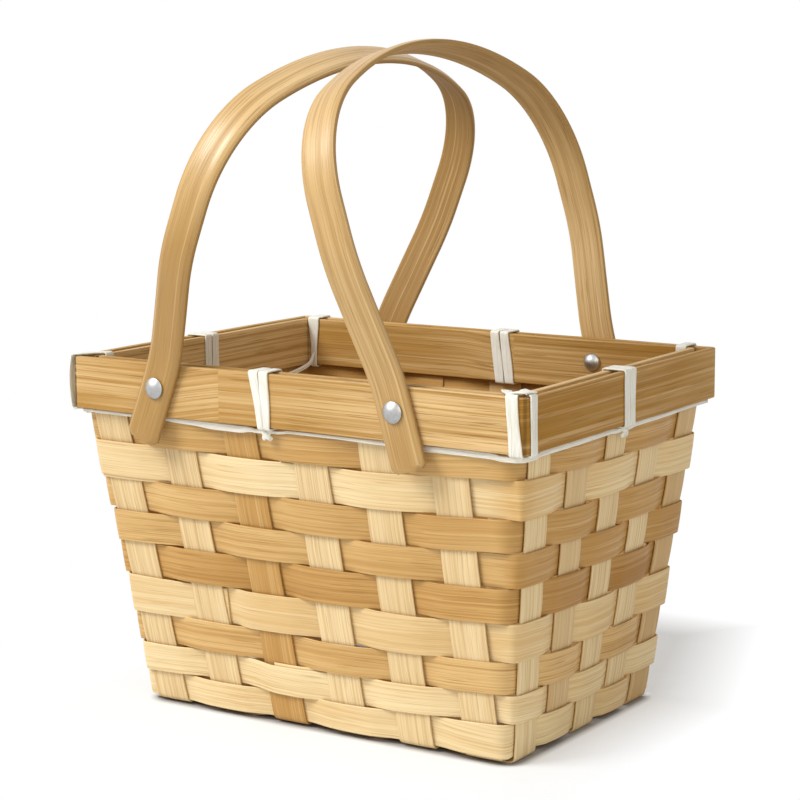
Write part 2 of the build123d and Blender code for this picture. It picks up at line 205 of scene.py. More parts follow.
class Graph:
    """A material under construction, with short ways to add and join its nodes."""

    def __init__(self, name: str) -> None:
        """Start an empty material.

        Args:
            name: Name of the material.
        """
        self.material = bpy.data.materials.new(name)
        self.material.use_nodes = True
        self.tree = self.material.node_tree
        self.shader = self.tree.nodes["Principled BSDF"]

    def add(self, kind: str, inputs: dict | None = None, **settings: object) -> bpy.types.Node:
        """Add a node.

        Args:
            kind: Type of the node, without its common prefix.
            inputs: Values or sockets for the node's inputs, by name or number.
            settings: Values of the node's own settings.

        Returns:
            The new node.
        """
        node = self.tree.nodes.new("ShaderNode" + kind)
        for key, value in settings.items():
            setattr(node, key, value)
        for key, value in (inputs or {}).items():
            if isinstance(value, Socket):
                self.tree.links.new(value, node.inputs[key])
            else:
                node.inputs[key].default_value = value
        return node

    def math(self, operation: str, first: object, second: object = 0.0) -> Socket:
        """Combine two numbers or sockets, held between 0 and 1."""
        node = self.add("Math", {0: first, 1: second}, operation=operation, use_clamp=True)
        return node.outputs[0]

    def blend(self, share: object, first: object, second: object) -> Socket:
        """Mix two colours.

        Args:
            share: How much of the second colour, a number or a socket.
            first: Colour or socket at a share of 0.
            second: Colour or socket at a share of 1.

        Returns:
            The mixed colour's socket.
        """
        node = self.add("Mix", data_type="RGBA")
        for place, value in ((MIX_SHARE, share), (MIX_FIRST, first), (MIX_SECOND, second)):
            if isinstance(value, Socket):
                self.tree.links.new(value, node.inputs[place])
            elif place == MIX_SHARE:
                node.inputs[place].default_value = value
            else:
                node.inputs[place].default_value = (*value, 1.0)
        return node.outputs[MIX_RESULT]

    def band(self, value: Socket, low: float, high: float) -> Socket:
        """Stretch a value so that low becomes 0 and high becomes 1."""
        node = self.add("MapRange", {0: value, 1: low, 2: high})
        return node.outputs[0]

    def part(self, value: Socket, low: float, high: float, share: float) -> Socket:
        """Amount that grows from none, where a value is low, to a share, where it is high."""
        return self.math("MULTIPLY", self.band(value, low, high), share)

    def spread(self, value: Socket, low: float, high: float, start: float, end: float) -> Socket:
        """Stretch a value so that low becomes start and high becomes end."""
        node = self.add("MapRange", {0: value, 1: low, 2: high, 3: start, 4: end})
        return node.outputs[0]

    def streaks(self, place: Socket, along: float, across: float, detail: float = 2.0,
                rough: float = 0.5) -> Socket:
        """Noise drawn out along the grain.

        Args:
            place: Socket with the place on the strip, in metres along and across.
            along: Features to a metre along the grain.
            across: Features to a metre across the grain.
            detail: Octaves of finer noise.
            rough: How strong the finer octaves are.

        Returns:
            The noise's value socket.
        """
        mapped = self.add("Mapping", {"Vector": place, "Scale": (along, across, 1.0)})
        noise = self.add(
            "TexNoise",
            {"Vector": mapped.outputs[0], "Scale": 1.0, "Detail": detail, "Roughness": rough},
            noise_dimensions="2D",
        )
        return noise.outputs[0]

    def set(self, values: dict[str, object]) -> None:
        """Set constants on the shader's own inputs."""
        for name, value in values.items():
            self.shader.inputs[name].default_value = value

    def join(self, socket: Socket, target: str) -> None:
        """Link a socket to one of the shader's inputs."""
        self.tree.links.new(socket, self.shader.inputs[target])

    def bump(self, height: Socket, distance: float, strength: float) -> None:
        """Give the shader a relief, as deep as the distance in metres where its height is 1."""
        node = self.add("Bump", {"Height": height, "Distance": distance, "Strength": strength})
        self.join(node.outputs[0], "Normal")


@dataclass(frozen=True)
class BambooFinish:
    """Planed bamboo: pale wood between darker fibre bundles that run along the strip, with pale streaks
    painted in as highlights.
    """

    slot: Slot
    pale: Colour
    brown: Colour
    vein: Colour
    vein_share: float = 0.55
    streak_share: float = 0.6
    roughness: float = 0.46
    relief: float = 0.00009
    relief_strength: float = 0.6
    fibre_pitch: float = 0.00036
    # Share of pale streaks painted in where the bundles are thin: a painted highlight along the grain.
    painted_glint: float = 0.4
    gloss: float = 0.22
    drift_share: float = 0.28
    inner_dull: float = 0.2
    # Burnt brown of the rim's scorch, also used to darken back faces as partly painted shade.
    burnt: Colour = (0.045, 0.022, 0.01)

    def material(self) -> bpy.types.Material:
        """Build the material.

        Returns:
            The bamboo material, drawn along the piece's own grain map.
        """
        graph = Graph(self.slot.value)
        place = graph.add("UVMap", uv_map=GRAIN).outputs[0]
        tone = graph.add("Attribute", attribute_name=TONE).outputs["Fac"]
        scorch = graph.add("Attribute", attribute_name=SCORCH_AND_SHADE).outputs["Fac"]
        inside = graph.add("Attribute", attribute_name=INNER).outputs["Fac"]
        rate = 1.0 / self.fibre_pitch
        fibre = graph.streaks(place, along=11.0, across=rate, detail=3.0, rough=0.55)
        bundle = graph.streaks(place, along=5.0, across=rate * 0.3)
        drift = graph.streaks(place, along=7.0, across=70.0)
        pore = graph.streaks(place, along=40.0, across=rate * 0.8, detail=1.0)
        tinted = graph.math("ADD", tone, graph.part(drift, 0.35, 0.75, self.drift_share))
        colour = graph.blend(tinted, self.pale, self.brown)
        colour = graph.blend(graph.part(bundle, 0.46, 0.7, self.streak_share), colour, self.brown)
        # Pale streaks where the bundles are thin: a painted highlight.
        colour = graph.blend(graph.part(bundle, 0.44, 0.26, self.painted_glint), colour, self.pale)
        colour = graph.blend(graph.part(fibre, 0.5, 0.78, self.vein_share), colour, self.vein)
        colour = graph.blend(graph.part(pore, 0.66, 0.74, self.vein_share), colour, self.vein)
        # Scorch at the rim's bends, and the back faces' darkening, which is partly painted shade.
        charred_and_shaded = graph.math("MULTIPLY", scorch, graph.band(bundle, 0.1, 0.4))
        graph.join(graph.blend(charred_and_shaded, colour, self.burnt), "Base Color")
        rough = graph.spread(bundle, 0.3, 0.7, self.roughness - 0.1, self.roughness + 0.12)
        duller = graph.math("MULTIPLY", inside, self.inner_dull)
        graph.join(graph.math("ADD", rough, duller), "Roughness")
        ridges = graph.math("MULTIPLY", fibre, 0.6)
        height = graph.math("ADD", ridges, graph.math("MULTIPLY", bundle, 0.4))
        graph.bump(height, self.relief, self.relief_strength)
        graph.set({GLOSS: self.gloss})
        return graph.material


@dataclass(frozen=True)
class LacingFinish:
    """White flat lacing, matt, with faint creases along its length, painted darker along the creases as
    painted shade.
    """

    slot: Slot = Slot.LACING
    white: Colour = (0.83, 0.81, 0.73)
    # Colour of the painted shade along the creases and of the soft darker patches.
    shade: Colour = (0.62, 0.59, 0.48)
    relief: float = 0.00012
    relief_strength: float = 0.55
    gloss: float = 0.35
    glow_share: float = 0.4
    glow_colour: Colour = (1.0, 0.95, 0.85)
    glow_reach: float = 0.0012

    def material(self) -> bpy.types.Material:
        """Build the material.

        Returns:
            The lacing's material, drawn along its own grain map, a little translucent.
        """
        graph = Graph(self.slot.value)
        place = graph.add("UVMap", uv_map=GRAIN).outputs[0]
        crease = graph.streaks(place, along=60.0, across=1500.0, rough=0.55)
        cloud = graph.streaks(place, along=90.0, across=260.0)
        # Darker along the creases: painted shade beside the creases' relief; soft patches darken it
        # unevenly.
        colour = graph.blend(graph.band(crease, 0.5, 0.8), self.white, self.shade)
        colour = graph.blend(graph.part(cloud, 0.45, 0.8, 0.4), colour, self.shade)
        graph.join(colour, "Base Color")
        graph.bump(crease, self.relief, self.relief_strength)
        graph.join(graph.spread(cloud, 0.3, 0.7, 0.5, 0.66), "Roughness")
        graph.set({
            GLOSS: self.gloss,
            "Subsurface Weight": self.glow_share,
            "Subsurface Radius": self.glow_colour,
            "Subsurface Scale": self.glow_reach,
        })
        return graph.material


@dataclass(frozen=True)
class MetalFinish:
    """Plated rivet with fine scratches and small dull spots."""

    slot: Slot = Slot.METAL
    bright: Colour = (0.50, 0.505, 0.50)
    dull: Colour = (0.32, 0.31, 0.29)
    spot_rate: float = 700.0
    scratch_rate: tuple[float, float, float] = (400.0, 900.0, 5000.0)
    relief: float = 0.000004
    relief_strength: float = 0.4

    def material(self) -> bpy.types.Material:
        """Build the material.

        Returns:
            The metal's material, on Object coordinates.
        """
        graph = Graph(self.slot.value)
        place = graph.add("TexCoord").outputs["Object"]
        cloud = {"Vector": place, "Scale": self.spot_rate, "Detail": 3.0, "Roughness": 0.5}
        spots = graph.add("TexNoise", cloud).outputs[0]
        hair = graph.add("Mapping", {"Vector": place, "Scale": self.scratch_rate}).outputs[0]
        lines = graph.add("TexNoise", {"Vector": hair, "Scale": 1.0, "Detail": 2.0}).outputs[0]
        worn = graph.part(spots, 0.5, 0.85, 0.5)
        graph.join(graph.blend(worn, self.bright, self.dull), "Base Color")
        graph.join(graph.spread(spots, 0.3, 0.75, 0.34, 0.46), "Roughness")
        graph.bump(lines, self.relief, self.relief_strength)
        graph.set({"Metallic": 1.0})
        return graph.material


class Finishes:
    """Every finish on the basket, built once each."""

    def __init__(self) -> None:
        """Build the materials."""
        finishes = (
            BambooFinish(
                Slot.LIGHT, pale=(0.855, 0.70, 0.415), brown=(0.65, 0.41, 0.157), vein=(0.49, 0.29, 0.1),
                vein_share=0.48, streak_share=0.46,
            ),
            BambooFinish(
                Slot.TAN, pale=(0.72, 0.48, 0.203), brown=(0.475, 0.255, 0.068), vein=(0.33, 0.165, 0.038),
                vein_share=0.58, streak_share=0.62,
            ),
            BambooFinish(
                Slot.BROWN, pale=(0.62, 0.37, 0.128), brown=(0.39, 0.19, 0.04), vein=(0.26, 0.116, 0.02),
                vein_share=0.55, streak_share=0.62,
            ),
            BambooFinish(
                Slot.STAKE, pale=(0.83, 0.655, 0.375), brown=(0.57, 0.36, 0.145), vein=(0.42, 0.25, 0.09),
                vein_share=0.5, streak_share=0.5,
            ),
            BambooFinish(
                Slot.RIM, pale=(0.77, 0.54, 0.265), brown=(0.36, 0.175, 0.022), vein=(0.24, 0.105, 0.014),
                vein_share=0.55, streak_share=0.65, roughness=0.5, relief=0.00012, fibre_pitch=0.00045,
                gloss=0.16, drift_share=0.45,
            ),
            BambooFinish(
                Slot.HANDLE, pale=(0.77, 0.54, 0.26), brown=(0.40, 0.225, 0.06), vein=(0.27, 0.14, 0.03),
                vein_share=0.58, streak_share=0.62, roughness=0.4, relief=0.000012, fibre_pitch=0.00042,
                gloss=0.5, inner_dull=0.35,
            ),
            LacingFinish(),
            MetalFinish(),
        )
        self.by_slot = {finish.slot: finish.material() for finish in finishes}


@dataclass
class Station:
    """One cross-section of a bent strip: where it lies and which way it faces, in millimetres."""

    point: Vector
    across: Vector
    out: Vector
    width: float
    thickness: float
    crown: float = 0.0
    tone: float = 0.3
    scorch: float = 0.0


@dataclass(frozen=True)
class Section:
    """Flat cross-section with eased edges, and how its edges and back differ in tone; the back's browner,
    darker tone is partly the strip's own and partly painted shade.
    """

    edge_radius: float = 0.22
    corner_steps: int = 2
    face_places: tuple[float, ...] = (-0.95, -0.45, 0.0, 0.45, 0.95)
    facet_width: float = 0.0
    facet_depth: float = 0.0
    # Back faces are browner and darker: partly the strip's own inner tone, partly painted shade.
    back_tone_and_shade: float = 0.0
    back_dark_tone_and_shade: float = 0.0
    edge_tone: float = 0.0

    def outline(self, width: float, thickness: float, crown: float) -> list[Pair]:
        """Points round the section.

        Args:
            width: Width of the strip.
            thickness: Thickness of the strip.
            crown: How far the strip's middle stands out of its edges.

        Returns:
            Pairs of the place across the strip and the place out of it.
        """
        radius = min(self.edge_radius, EDGE_LIMIT * thickness, EDGE_LIMIT * width)
        half, deep = width / 2 - radius, thickness / 2 - radius
        arc = [QUARTER * step / self.corner_steps for step in range(self.corner_steps + 1)]
        points = []
        for quarter, (side, level) in enumerate(((1, 1), (1, -1), (-1, -1), (-1, 1))):
            start = QUARTER * (1 - quarter)
            for angle in arc:
                turn = start - angle
                across, out = radius * math.cos(turn), radius * math.sin(turn)
                points.append((side * half + across, level * deep + out))
            if quarter in (1, 3):
                way = -1 if quarter == 1 else 1
                points += [(way * share * half, level * (deep + radius)) for share in self.face_places]
        eased = []
        for across, out in points:
            edge = abs(across) - (width / 2 - self.facet_width)
            if out > 0 and edge > 0 and self.facet_width:
                out -= self.facet_depth * edge / self.facet_width
            eased.append((across, out + crown * (1 - (2 * across / width) ** 2)))
        return eased


def sweep(stations: list[Station], section: Section, closed: bool, grain_start: float) -> Mesh:
    """Bend a flat sheet into a strip that follows its stations.

    Args:
        stations: Cross-sections in order along the strip.
        section: Shape of the cross-sections.
        closed: Whether the last station meets the first.
        grain_start: Where on the grain map the strip starts, in millimetres.

    Returns:
        The strip's closed mesh, in millimetres.
    """
    rings = stations + stations[:1] if closed else stations
    outlines = [section.outline(ring.width, ring.thickness, ring.crown) for ring in rings]
    around = len(outlines[0])
    along = [grain_start]
    for before, after in zip(rings, rings[1:]):
        along.append(along[-1] + (after.point - before.point).length)
    girths = []
    for outline in outlines:
        girth = [0.0]
        for first, second in zip(outline, outline[1:] + outline[:1]):
            girth.append(girth[-1] + math.dist(first, second))
        girths.append(girth)
    mesh = bmesh.new()
    grain = mesh.loops.layers.uv.new(GRAIN)
    tone = mesh.verts.layers.float.new(TONE)
    scorch = mesh.verts.layers.float.new(SCORCH_AND_SHADE)
    inner = mesh.verts.layers.float.new(INNER)
    last = len(rings) - 1
    bmesh.ops.create_grid(mesh, x_segments=last, y_segments=around, size=1.0)
    place = {}
    for vert in mesh.verts:
        place[vert] = (round((vert.co.x + 1) / 2 * last), round((vert.co.y + 1) / 2 * around))
    for face in mesh.faces:
        for loop in face.loops:
            step, turn = place[loop.vert]
            loop[grain].uv = (along[step] * MM, girths[step][turn] * MM)
    for vert, (step, turn) in place.items():
        ring = rings[step]
        across, out = outlines[step][turn % around]
        vert.co = ring.point + ring.across * across + ring.out * out
        at_edge = abs(across) > ring.width / 2 - section.edge_radius / 2
        # The back face gets a browner, darker tone: partly the strip's own, partly painted shade.
        behind = 1.0 if out < 0 else 0.0
        vert[tone] = ring.tone + (section.edge_tone if at_edge else 0.0) + section.back_tone_and_shade * behind
        vert[scorch] = ring.scorch + section.back_dark_tone_and_shade * behind
        vert[inner] = behind
    bmesh.ops.remove_doubles(mesh, verts=mesh.verts[:], dist=MERGE_GAP)
    if not closed:
        ends = [edge for edge in mesh.edges if edge.is_boundary]
        for edge in ends:
            edge.smooth = False
        caps = bmesh.ops.holes_fill(mesh, edges=ends, sides=0)["faces"]
        for cap in caps:
            centre = cap.calc_center_median()
            for loop in cap.loops:
                loop[grain].uv = (grain_start * MM, (loop.vert.co - centre).length * MM)
    bmesh.ops.recalc_face_normals(mesh, faces=mesh.faces[:])
    return mesh


def join_meshes(parts: list[Mesh]) -> Mesh:
    """Put several meshes of one piece into the first of them.

    Args:
        parts: The meshes, of which all but the first are used up.

    Returns:
        The first mesh, with the others in it.
    """
    whole = parts[0]
    for part in parts[1:]:
        spare = bpy.data.meshes.new("spare")
        part.to_mesh(spare)
        part.free()
        whole.from_mesh(spare)
        bpy.data.meshes.remove(spare)
    return whole


@dataclass(frozen=True)
class CornerPull:
    """How far the front corners stand out of a true rectangle towards the rim, in millimetres."""

    left: float = 1.2
    right: float = 0.7
    low: float = 50.0
    rise: float = 70.0
    front: float = 20.0
    depth: float = 80.0
    left_start: float = 68.0
    left_run: float = 30.0
    right_start: float = 60.0
    right_run: float = 36.0

    def apply(self, mesh: Mesh) -> None:
        """Draw a piece of the rim or the weave out at the two front corners.

        Args:
            mesh: The piece's mesh, in millimetres.
        """
        for vert in mesh.verts:
            x, y, z = vert.co
            high = smooth((z - self.low) / self.rise)
            forward = smooth((self.front - y) / self.depth)
            left = smooth((-x - self.left_start) / self.left_run)
            right = smooth((x - self.right_start) / self.right_run)
            vert.co.x += high * forward * (self.right * right - self.left * left)


def settle(mesh: Mesh, name: str, node: str, slot: Slot, body: Body,
           finishes: Finishes) -> Piece:
    """Turn a mesh in millimetres into a finished piece that rides on its body.

    Args:
        mesh: The piece's mesh, which is used up.
        name: Name of the piece.
        node: The solid that the piece stands for.
        slot: Finish of the piece.
        body: Body that the piece moves with.
        finishes: Every finish.

    Returns:
        The finished piece.
    """
    if slot not in (Slot.HANDLE, Slot.METAL):
        CornerPull().apply(mesh)
    bmesh.ops.scale(mesh, vec=(MM, MM, MM), verts=mesh.verts[:])
    for face in mesh.faces:
        face.smooth = True
    piece = put(mesh, name)
    piece.data.materials.append(finishes.by_slot[slot])
    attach(piece, body.value)
    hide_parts(node)
    return piece


@dataclass(frozen=True)
class WeaveShape:
    """Tapered shape that the woven walls follow, in millimetres."""

    rim_half_length: float = 96.6
    rim_half_width: float = 72.8
    slope_x: float = 0.1164
    slope_y: float = 0.1473
    bend_z: float = 120.85
    base_z: float = 1.4
    stake_top: float = 139.0
    stake_width: float = 15.2
    stake_thickness: float = 0.8
    rows: int = 10
    row_gap: float = 0.12
    near_edges: tuple[float, ...] = (2.4, 16.9, 28.0, 40.5, 55.4, 69.0, 82.0, 94.6, 109.3, 121.3, 134.0)
    far_edges: tuple[float, ...] = (2.3, 13.4, 25.1, 37.6, 52.9, 66.6, 79.4, 92.4, 106.5, 120.4, 134.0)
    near_reach: float = 45.0
    mean_place: float = 60.0
    top_fade: float = 12.0
    base_fade: float = 8.0
    cross_base: tuple[float, ...] = (-71.8, -43.08, -14.36, 14.36, 43.08, 71.8)
    cross_rim: tuple[float, ...] = (-85.85, -55.32, -24.79, 5.74, 36.26, 66.79)
    length_base: tuple[float, ...] = (-44.06, -22.03, 0.0, 22.03, 44.06)
    length_rim: tuple[float, ...] = (-60.0, -30.0, 0.0, 30.0, 60.0)

    def half_length(self, z: float) -> float:
        """Half the length of the weave's middle surface at a height."""
        return self.rim_half_length - self.slope_x * max(self.bend_z - z, 0.0)

    def half_width(self, z: float) -> float:
        """Half the width of the weave's middle surface at a height."""
        return self.rim_half_width - self.slope_y * max(self.bend_z - z, 0.0)

    def cross_centre(self, index: int, z: float) -> float:
        """X of the middle of a front-to-back strip at a height."""
        return mix(self.cross_base[index], self.cross_rim[index], min(z / self.bend_z, 1.0))

    def length_centre(self, index: int, z: float) -> float:
        """Y of the middle of a lengthwise strip at a height."""
        return mix(self.length_base[index], self.length_rim[index], min(z / self.bend_z, 1.0))

    def row_edge(self, edge: int, from_near: float) -> float:
        """Height of the line between two rings, at a distance from the near corner."""
        share = math.exp(-((from_near / self.near_reach) ** 2))
        return mix(self.far_edges[edge], self.near_edges[edge], share)

    def row_middle(self, row: int) -> float:
        """Mean height of a woven ring, counted from 0 at the bottom."""
        return (self.row_edge(row, self.mean_place) + self.row_edge(row + 1, self.mean_place)) / 2

    def stakes(self, wall: Wall, z: float) -> list[tuple[float, int]]:
        """Stakes of a wall in the order in which a ring meets them.

        Args:
            wall: The wall.
            z: Height of the ring.

        Returns:
            Place of each stake's middle along the wall, in the ring's direction, and its number.
        """
        cross = [self.cross_centre(index, z) for index in range(len(self.cross_base))]
        length = [self.length_centre(index, z) for index in range(len(self.length_base))]
        places = {
            Wall.FRONT: cross,
            Wall.RIGHT: length,
            Wall.BACK: [-place for place in reversed(cross)],
            Wall.LEFT: [-place for place in reversed(length)],
        }
        return [(place, FIRST_STAKE[wall] + count) for count, place in enumerate(places[wall])]

    def stake_bulge(self, number: int, z: float, height: float) -> float:
        """How far a stake stands out where it passes outside a ring, or in where it passes inside.

        Args:
            number: Number of the stake.
            z: Height on the wall.
            height: The most that the stake stands out.

        Returns:
            The distance outwards, which fades towards the base and the rim.
        """
        from_near = STAKE_FROM_NEAR.get(number, FAR_STAKE)
        edges = [self.row_edge(edge, from_near) for edge in range(self.rows + 1)]
        row = max(sum(1 for edge in edges if edge <= z) - 1, 0)
        if row >= self.rows:
            return 0.0
        share = (z - edges[row]) / (edges[row + 1] - edges[row])
        phase = math.sin(math.pi * min(max(share, 0.0), 1.0))
        fade = smooth((self.bend_z - z) / self.top_fade) * smooth((z - self.base_z) / self.base_fade)
        return height * phase * fade * (1 if (number + row) % 2 == 0 else -1)


@dataclass
class Stakes:
    """The strips that run up the walls and cross in the base."""

    shape: WeaveShape
    bulge: float = 0.2
    fold_radius: float = 2.4
    fold_steps: int = 6
    fold_gap: float = 0.5
    top_gap: float = 0.5
    step: float = 2.4
    floor_wave: float = 1.0
    floor_flat: float = 0.4
    floor_steps: int = 24
    crown: float = 0.1
    thinner: float = 0.06
    slimmer: float = 0.1
    side_wave: Wave = Wave(0.12, reach=23.0)
    width_wave: Wave = Wave(0.12, reach=17.0)
    tone_wave: Wave = Wave(0.06, reach=31.0)
    tone_run: float = 60.0
    cross_seed: int = 40
    length_seed: int = 60
    grain_gap: float = 1000.0
    tan_strip: int = 2
    front_tones: tuple[float, ...] = (0.30, 0.22, 0.62, 0.08, 0.12, 0.10)
    back_tones: tuple[float, ...] = (0.2, 0.35, 0.1, 0.3, 0.15, 0.25)
    right_tones: tuple[float, ...] = (0.0, 0.5, 0.1, 0.1, 0.6)
    left_tones: tuple[float, ...] = (0.3, 0.2, 0.4, 0.25, 0.3)
    # Browner back faces: partly the strips' own tone, partly painted shade.
    section: Section = Section(edge_radius=0.2, back_tone_and_shade=0.55)

    def wall_profile(self, half_rim: float, slope: float, floor: float, number: int) -> list[Pair]:
        """Places up one wall, from the fold at the base to the top.

        Args:
            half_rim: Distance of the weave from the middle, at the rim.
            slope: How fast the wall leans.
            floor: Height of the strip beside the fold.
            number: Number of the stake.

        Returns:
            Pairs of the distance from the middle and the height.
        """
        shape = self.shape
        radius = self.fold_radius
        corner = half_rim - slope * (shape.bend_z - floor)
        arc = QUARTER - math.atan(slope)
        reach = radius * math.tan(arc / 2)
        centre = (corner - reach, floor + radius)
        points = []
        for step in range(self.fold_steps + 1):
            angle = -QUARTER + arc * step / self.fold_steps
            points.append((centre[0] + radius * math.cos(angle), centre[1] + radius * math.sin(angle)))
        z = points[-1][1] + self.step
        while z < shape.stake_top - self.top_gap:
            base = half_rim - slope * max(shape.bend_z - z, 0.0)
            points.append((base + shape.stake_bulge(number, z, self.bulge), z))
            z += self.step
        points.append((half_rim, shape.stake_top))
        return points

    def floor_levels(self, number: int, middles: list[float]) -> list[Pair]:
        """Places across the base of a lengthwise strip, over and under the crossing ones.

        Args:
            number: Number of the strip among its kind.
            middles: Middles of the crossing strips, from left to right.

        Returns:
            Pairs of the place along the base and the height.
        """
        side = [1 if (number + crossing) % 2 == 0 else -1 for crossing in range(len(middles))]
        flat = self.shape.stake_width / 2 + self.floor_flat
        points = []
        for count, middle in enumerate(middles):
            level = self.shape.base_z + self.floor_wave * side[count]
            for share in FLAT_SHARES:
                points.append((middle + flat * share, level))
            if count + 1 < len(middles):
                onward = self.shape.base_z + self.floor_wave * side[count + 1]
                start, end = middle + flat, middles[count + 1] - flat
                for step in RAMP_SHARES:
                    points.append((mix(start, end, step), mix(level, onward, smooth(step))))
        return points

    def route_stations(self, route: list[Pair], lengthwise: bool, index: int, seed: int,
                       tones: Pair) -> list[Station]:
        """Turn a strip's side view into stations.

        Args:
            route: Places along and up, from one top end to the other.
            lengthwise: Whether the strip runs from end to end instead of front to back.
            index: Number of the strip among its kind.
            seed: Seed of the strip's small irregularities.
            tones: Tone of the strip's first half and of its second half.

        Returns:
            The stations.
        """
        phases = wave_starts(seed, 3)
        stations = []
        travelled = 0.0
        for count, (reach, z) in enumerate(route):
            before = route[max(count - 1, 0)]
            after = route[min(count + 1, len(route) - 1)]
            travelled += math.dist(before, (reach, z))
            tangent = Vector((after[0] - before[0], after[1] - before[1])).normalized()
            wander = self.side_wave.at(travelled, phases[0])
            width = self.shape.stake_width - self.slimmer + self.width_wave.at(travelled, phases[1])
            share = smooth(0.5 + reach / self.tone_run)
            tone = mix(tones[0], tones[1], share) + self.tone_wave.at(travelled, phases[2])
            if lengthwise:
                point = Vector((reach, self.shape.length_centre(index, z) + wander, z))
                across = Vector((0.0, 1.0, 0.0))
                out = Vector((tangent.y, 0.0, -tangent.x))
            else:
                point = Vector((self.shape.cross_centre(index, z) + wander, reach, z))
                across = Vector((1.0, 0.0, 0.0))
                out = Vector((0.0, tangent.y, -tangent.x))
            thickness = self.shape.stake_thickness - self.thinner
            stations.append(Station(point, across, out, width, thickness, self.crown, tone))
        return stations

    def cross_strips(self, finishes: Finishes) -> list[Piece]:
        """Build the strips that run up the front, across the base and up the back.

        Args:
            finishes: Every finish.

        Returns:
            The pieces, from left to right.
        """
        shape = self.shape
        last_back = FIRST_STAKE[Wall.BACK] + len(shape.cross_base) - 1
        pieces = []
        for index in range(len(shape.cross_base)):
            front = self.wall_profile(shape.rim_half_width, shape.slope_y, shape.base_z, index)
            back = self.wall_profile(shape.rim_half_width, shape.slope_y, shape.base_z, last_back - index)
            start, end = -front[0][0], back[0][0]
            shares = [step / self.floor_steps for step in range(1, self.floor_steps)]
            floor = [(mix(start, end, share), shape.base_z) for share in shares]
            route = [(-reach, z) for reach, z in reversed(front)] + floor + back
            tones = (self.front_tones[index], self.back_tones[index])
            stations = self.route_stations(route, False, index, self.cross_seed + index, tones)
            strip = sweep(stations, self.section, False, CROSS_GRAIN + self.grain_gap * index)
            name = f"cross_strip_{index + 1}"
            slot = Slot.TAN if index == self.tan_strip else Slot.STAKE
            pieces.append(settle(strip, f"upright_{name}", name, slot, Body.BASKET, finishes))
        return pieces

    def length_strips(self, finishes: Finishes) -> list[Piece]:
        """Build the strips that run up one end, along the base and up the other end.

        Args:
            finishes: Every finish.

        Returns:
            The pieces, from the front to the back.
        """
        shape = self.shape
        first_right = FIRST_STAKE[Wall.RIGHT]
        last_left = FIRST_STAKE[Wall.LEFT] + len(shape.length_base) - 1
        middles = [shape.cross_centre(crossing, 0.0) for crossing in range(len(shape.cross_base))]
        pieces = []
        for index in range(len(shape.length_base)):
            floor = self.floor_levels(index, middles)
            low, high = floor[0][1], floor[-1][1]
            left = self.wall_profile(shape.rim_half_length, shape.slope_x, low, last_left - index)
            right = self.wall_profile(shape.rim_half_length, shape.slope_x, high, first_right + index)
            start, end = -left[0][0] + self.fold_gap, right[0][0] - self.fold_gap
            inner = [spot for spot in floor if start < spot[0] < end]
            route = [(-reach, z) for reach, z in reversed(left)] + inner + right
            tones = (self.left_tones[index], self.right_tones[index])
            stations = self.route_stations(route, True, index, self.length_seed + index, tones)
            strip = sweep(stations, self.section, False, LENGTH_GRAIN + self.grain_gap * index)
            name = f"length_strip_{index + 1}"
            pieces.append(settle(strip, f"upright_{name}", name, Slot.STAKE, Body.BASKET, finishes))
        return pieces

    def build(self, finishes: Finishes) -> list[Piece]:
        """Build all the upright strips."""
        return self.cross_strips(finishes) + self.length_strips(finishes)


@dataclass(frozen=True)
class RowLook:
    """How one woven ring departs from an even one, in millimetres."""

    slot: Slot
    tone: float
    lap_stake: float
    lap_length: float
    twist: float = 0.3
    flare: float = 0.0
    crease: float = 0.0
    # Browner tone on the right wall: partly the strip's own, partly painted shade.
    right_tone_and_shade: float = 0.34


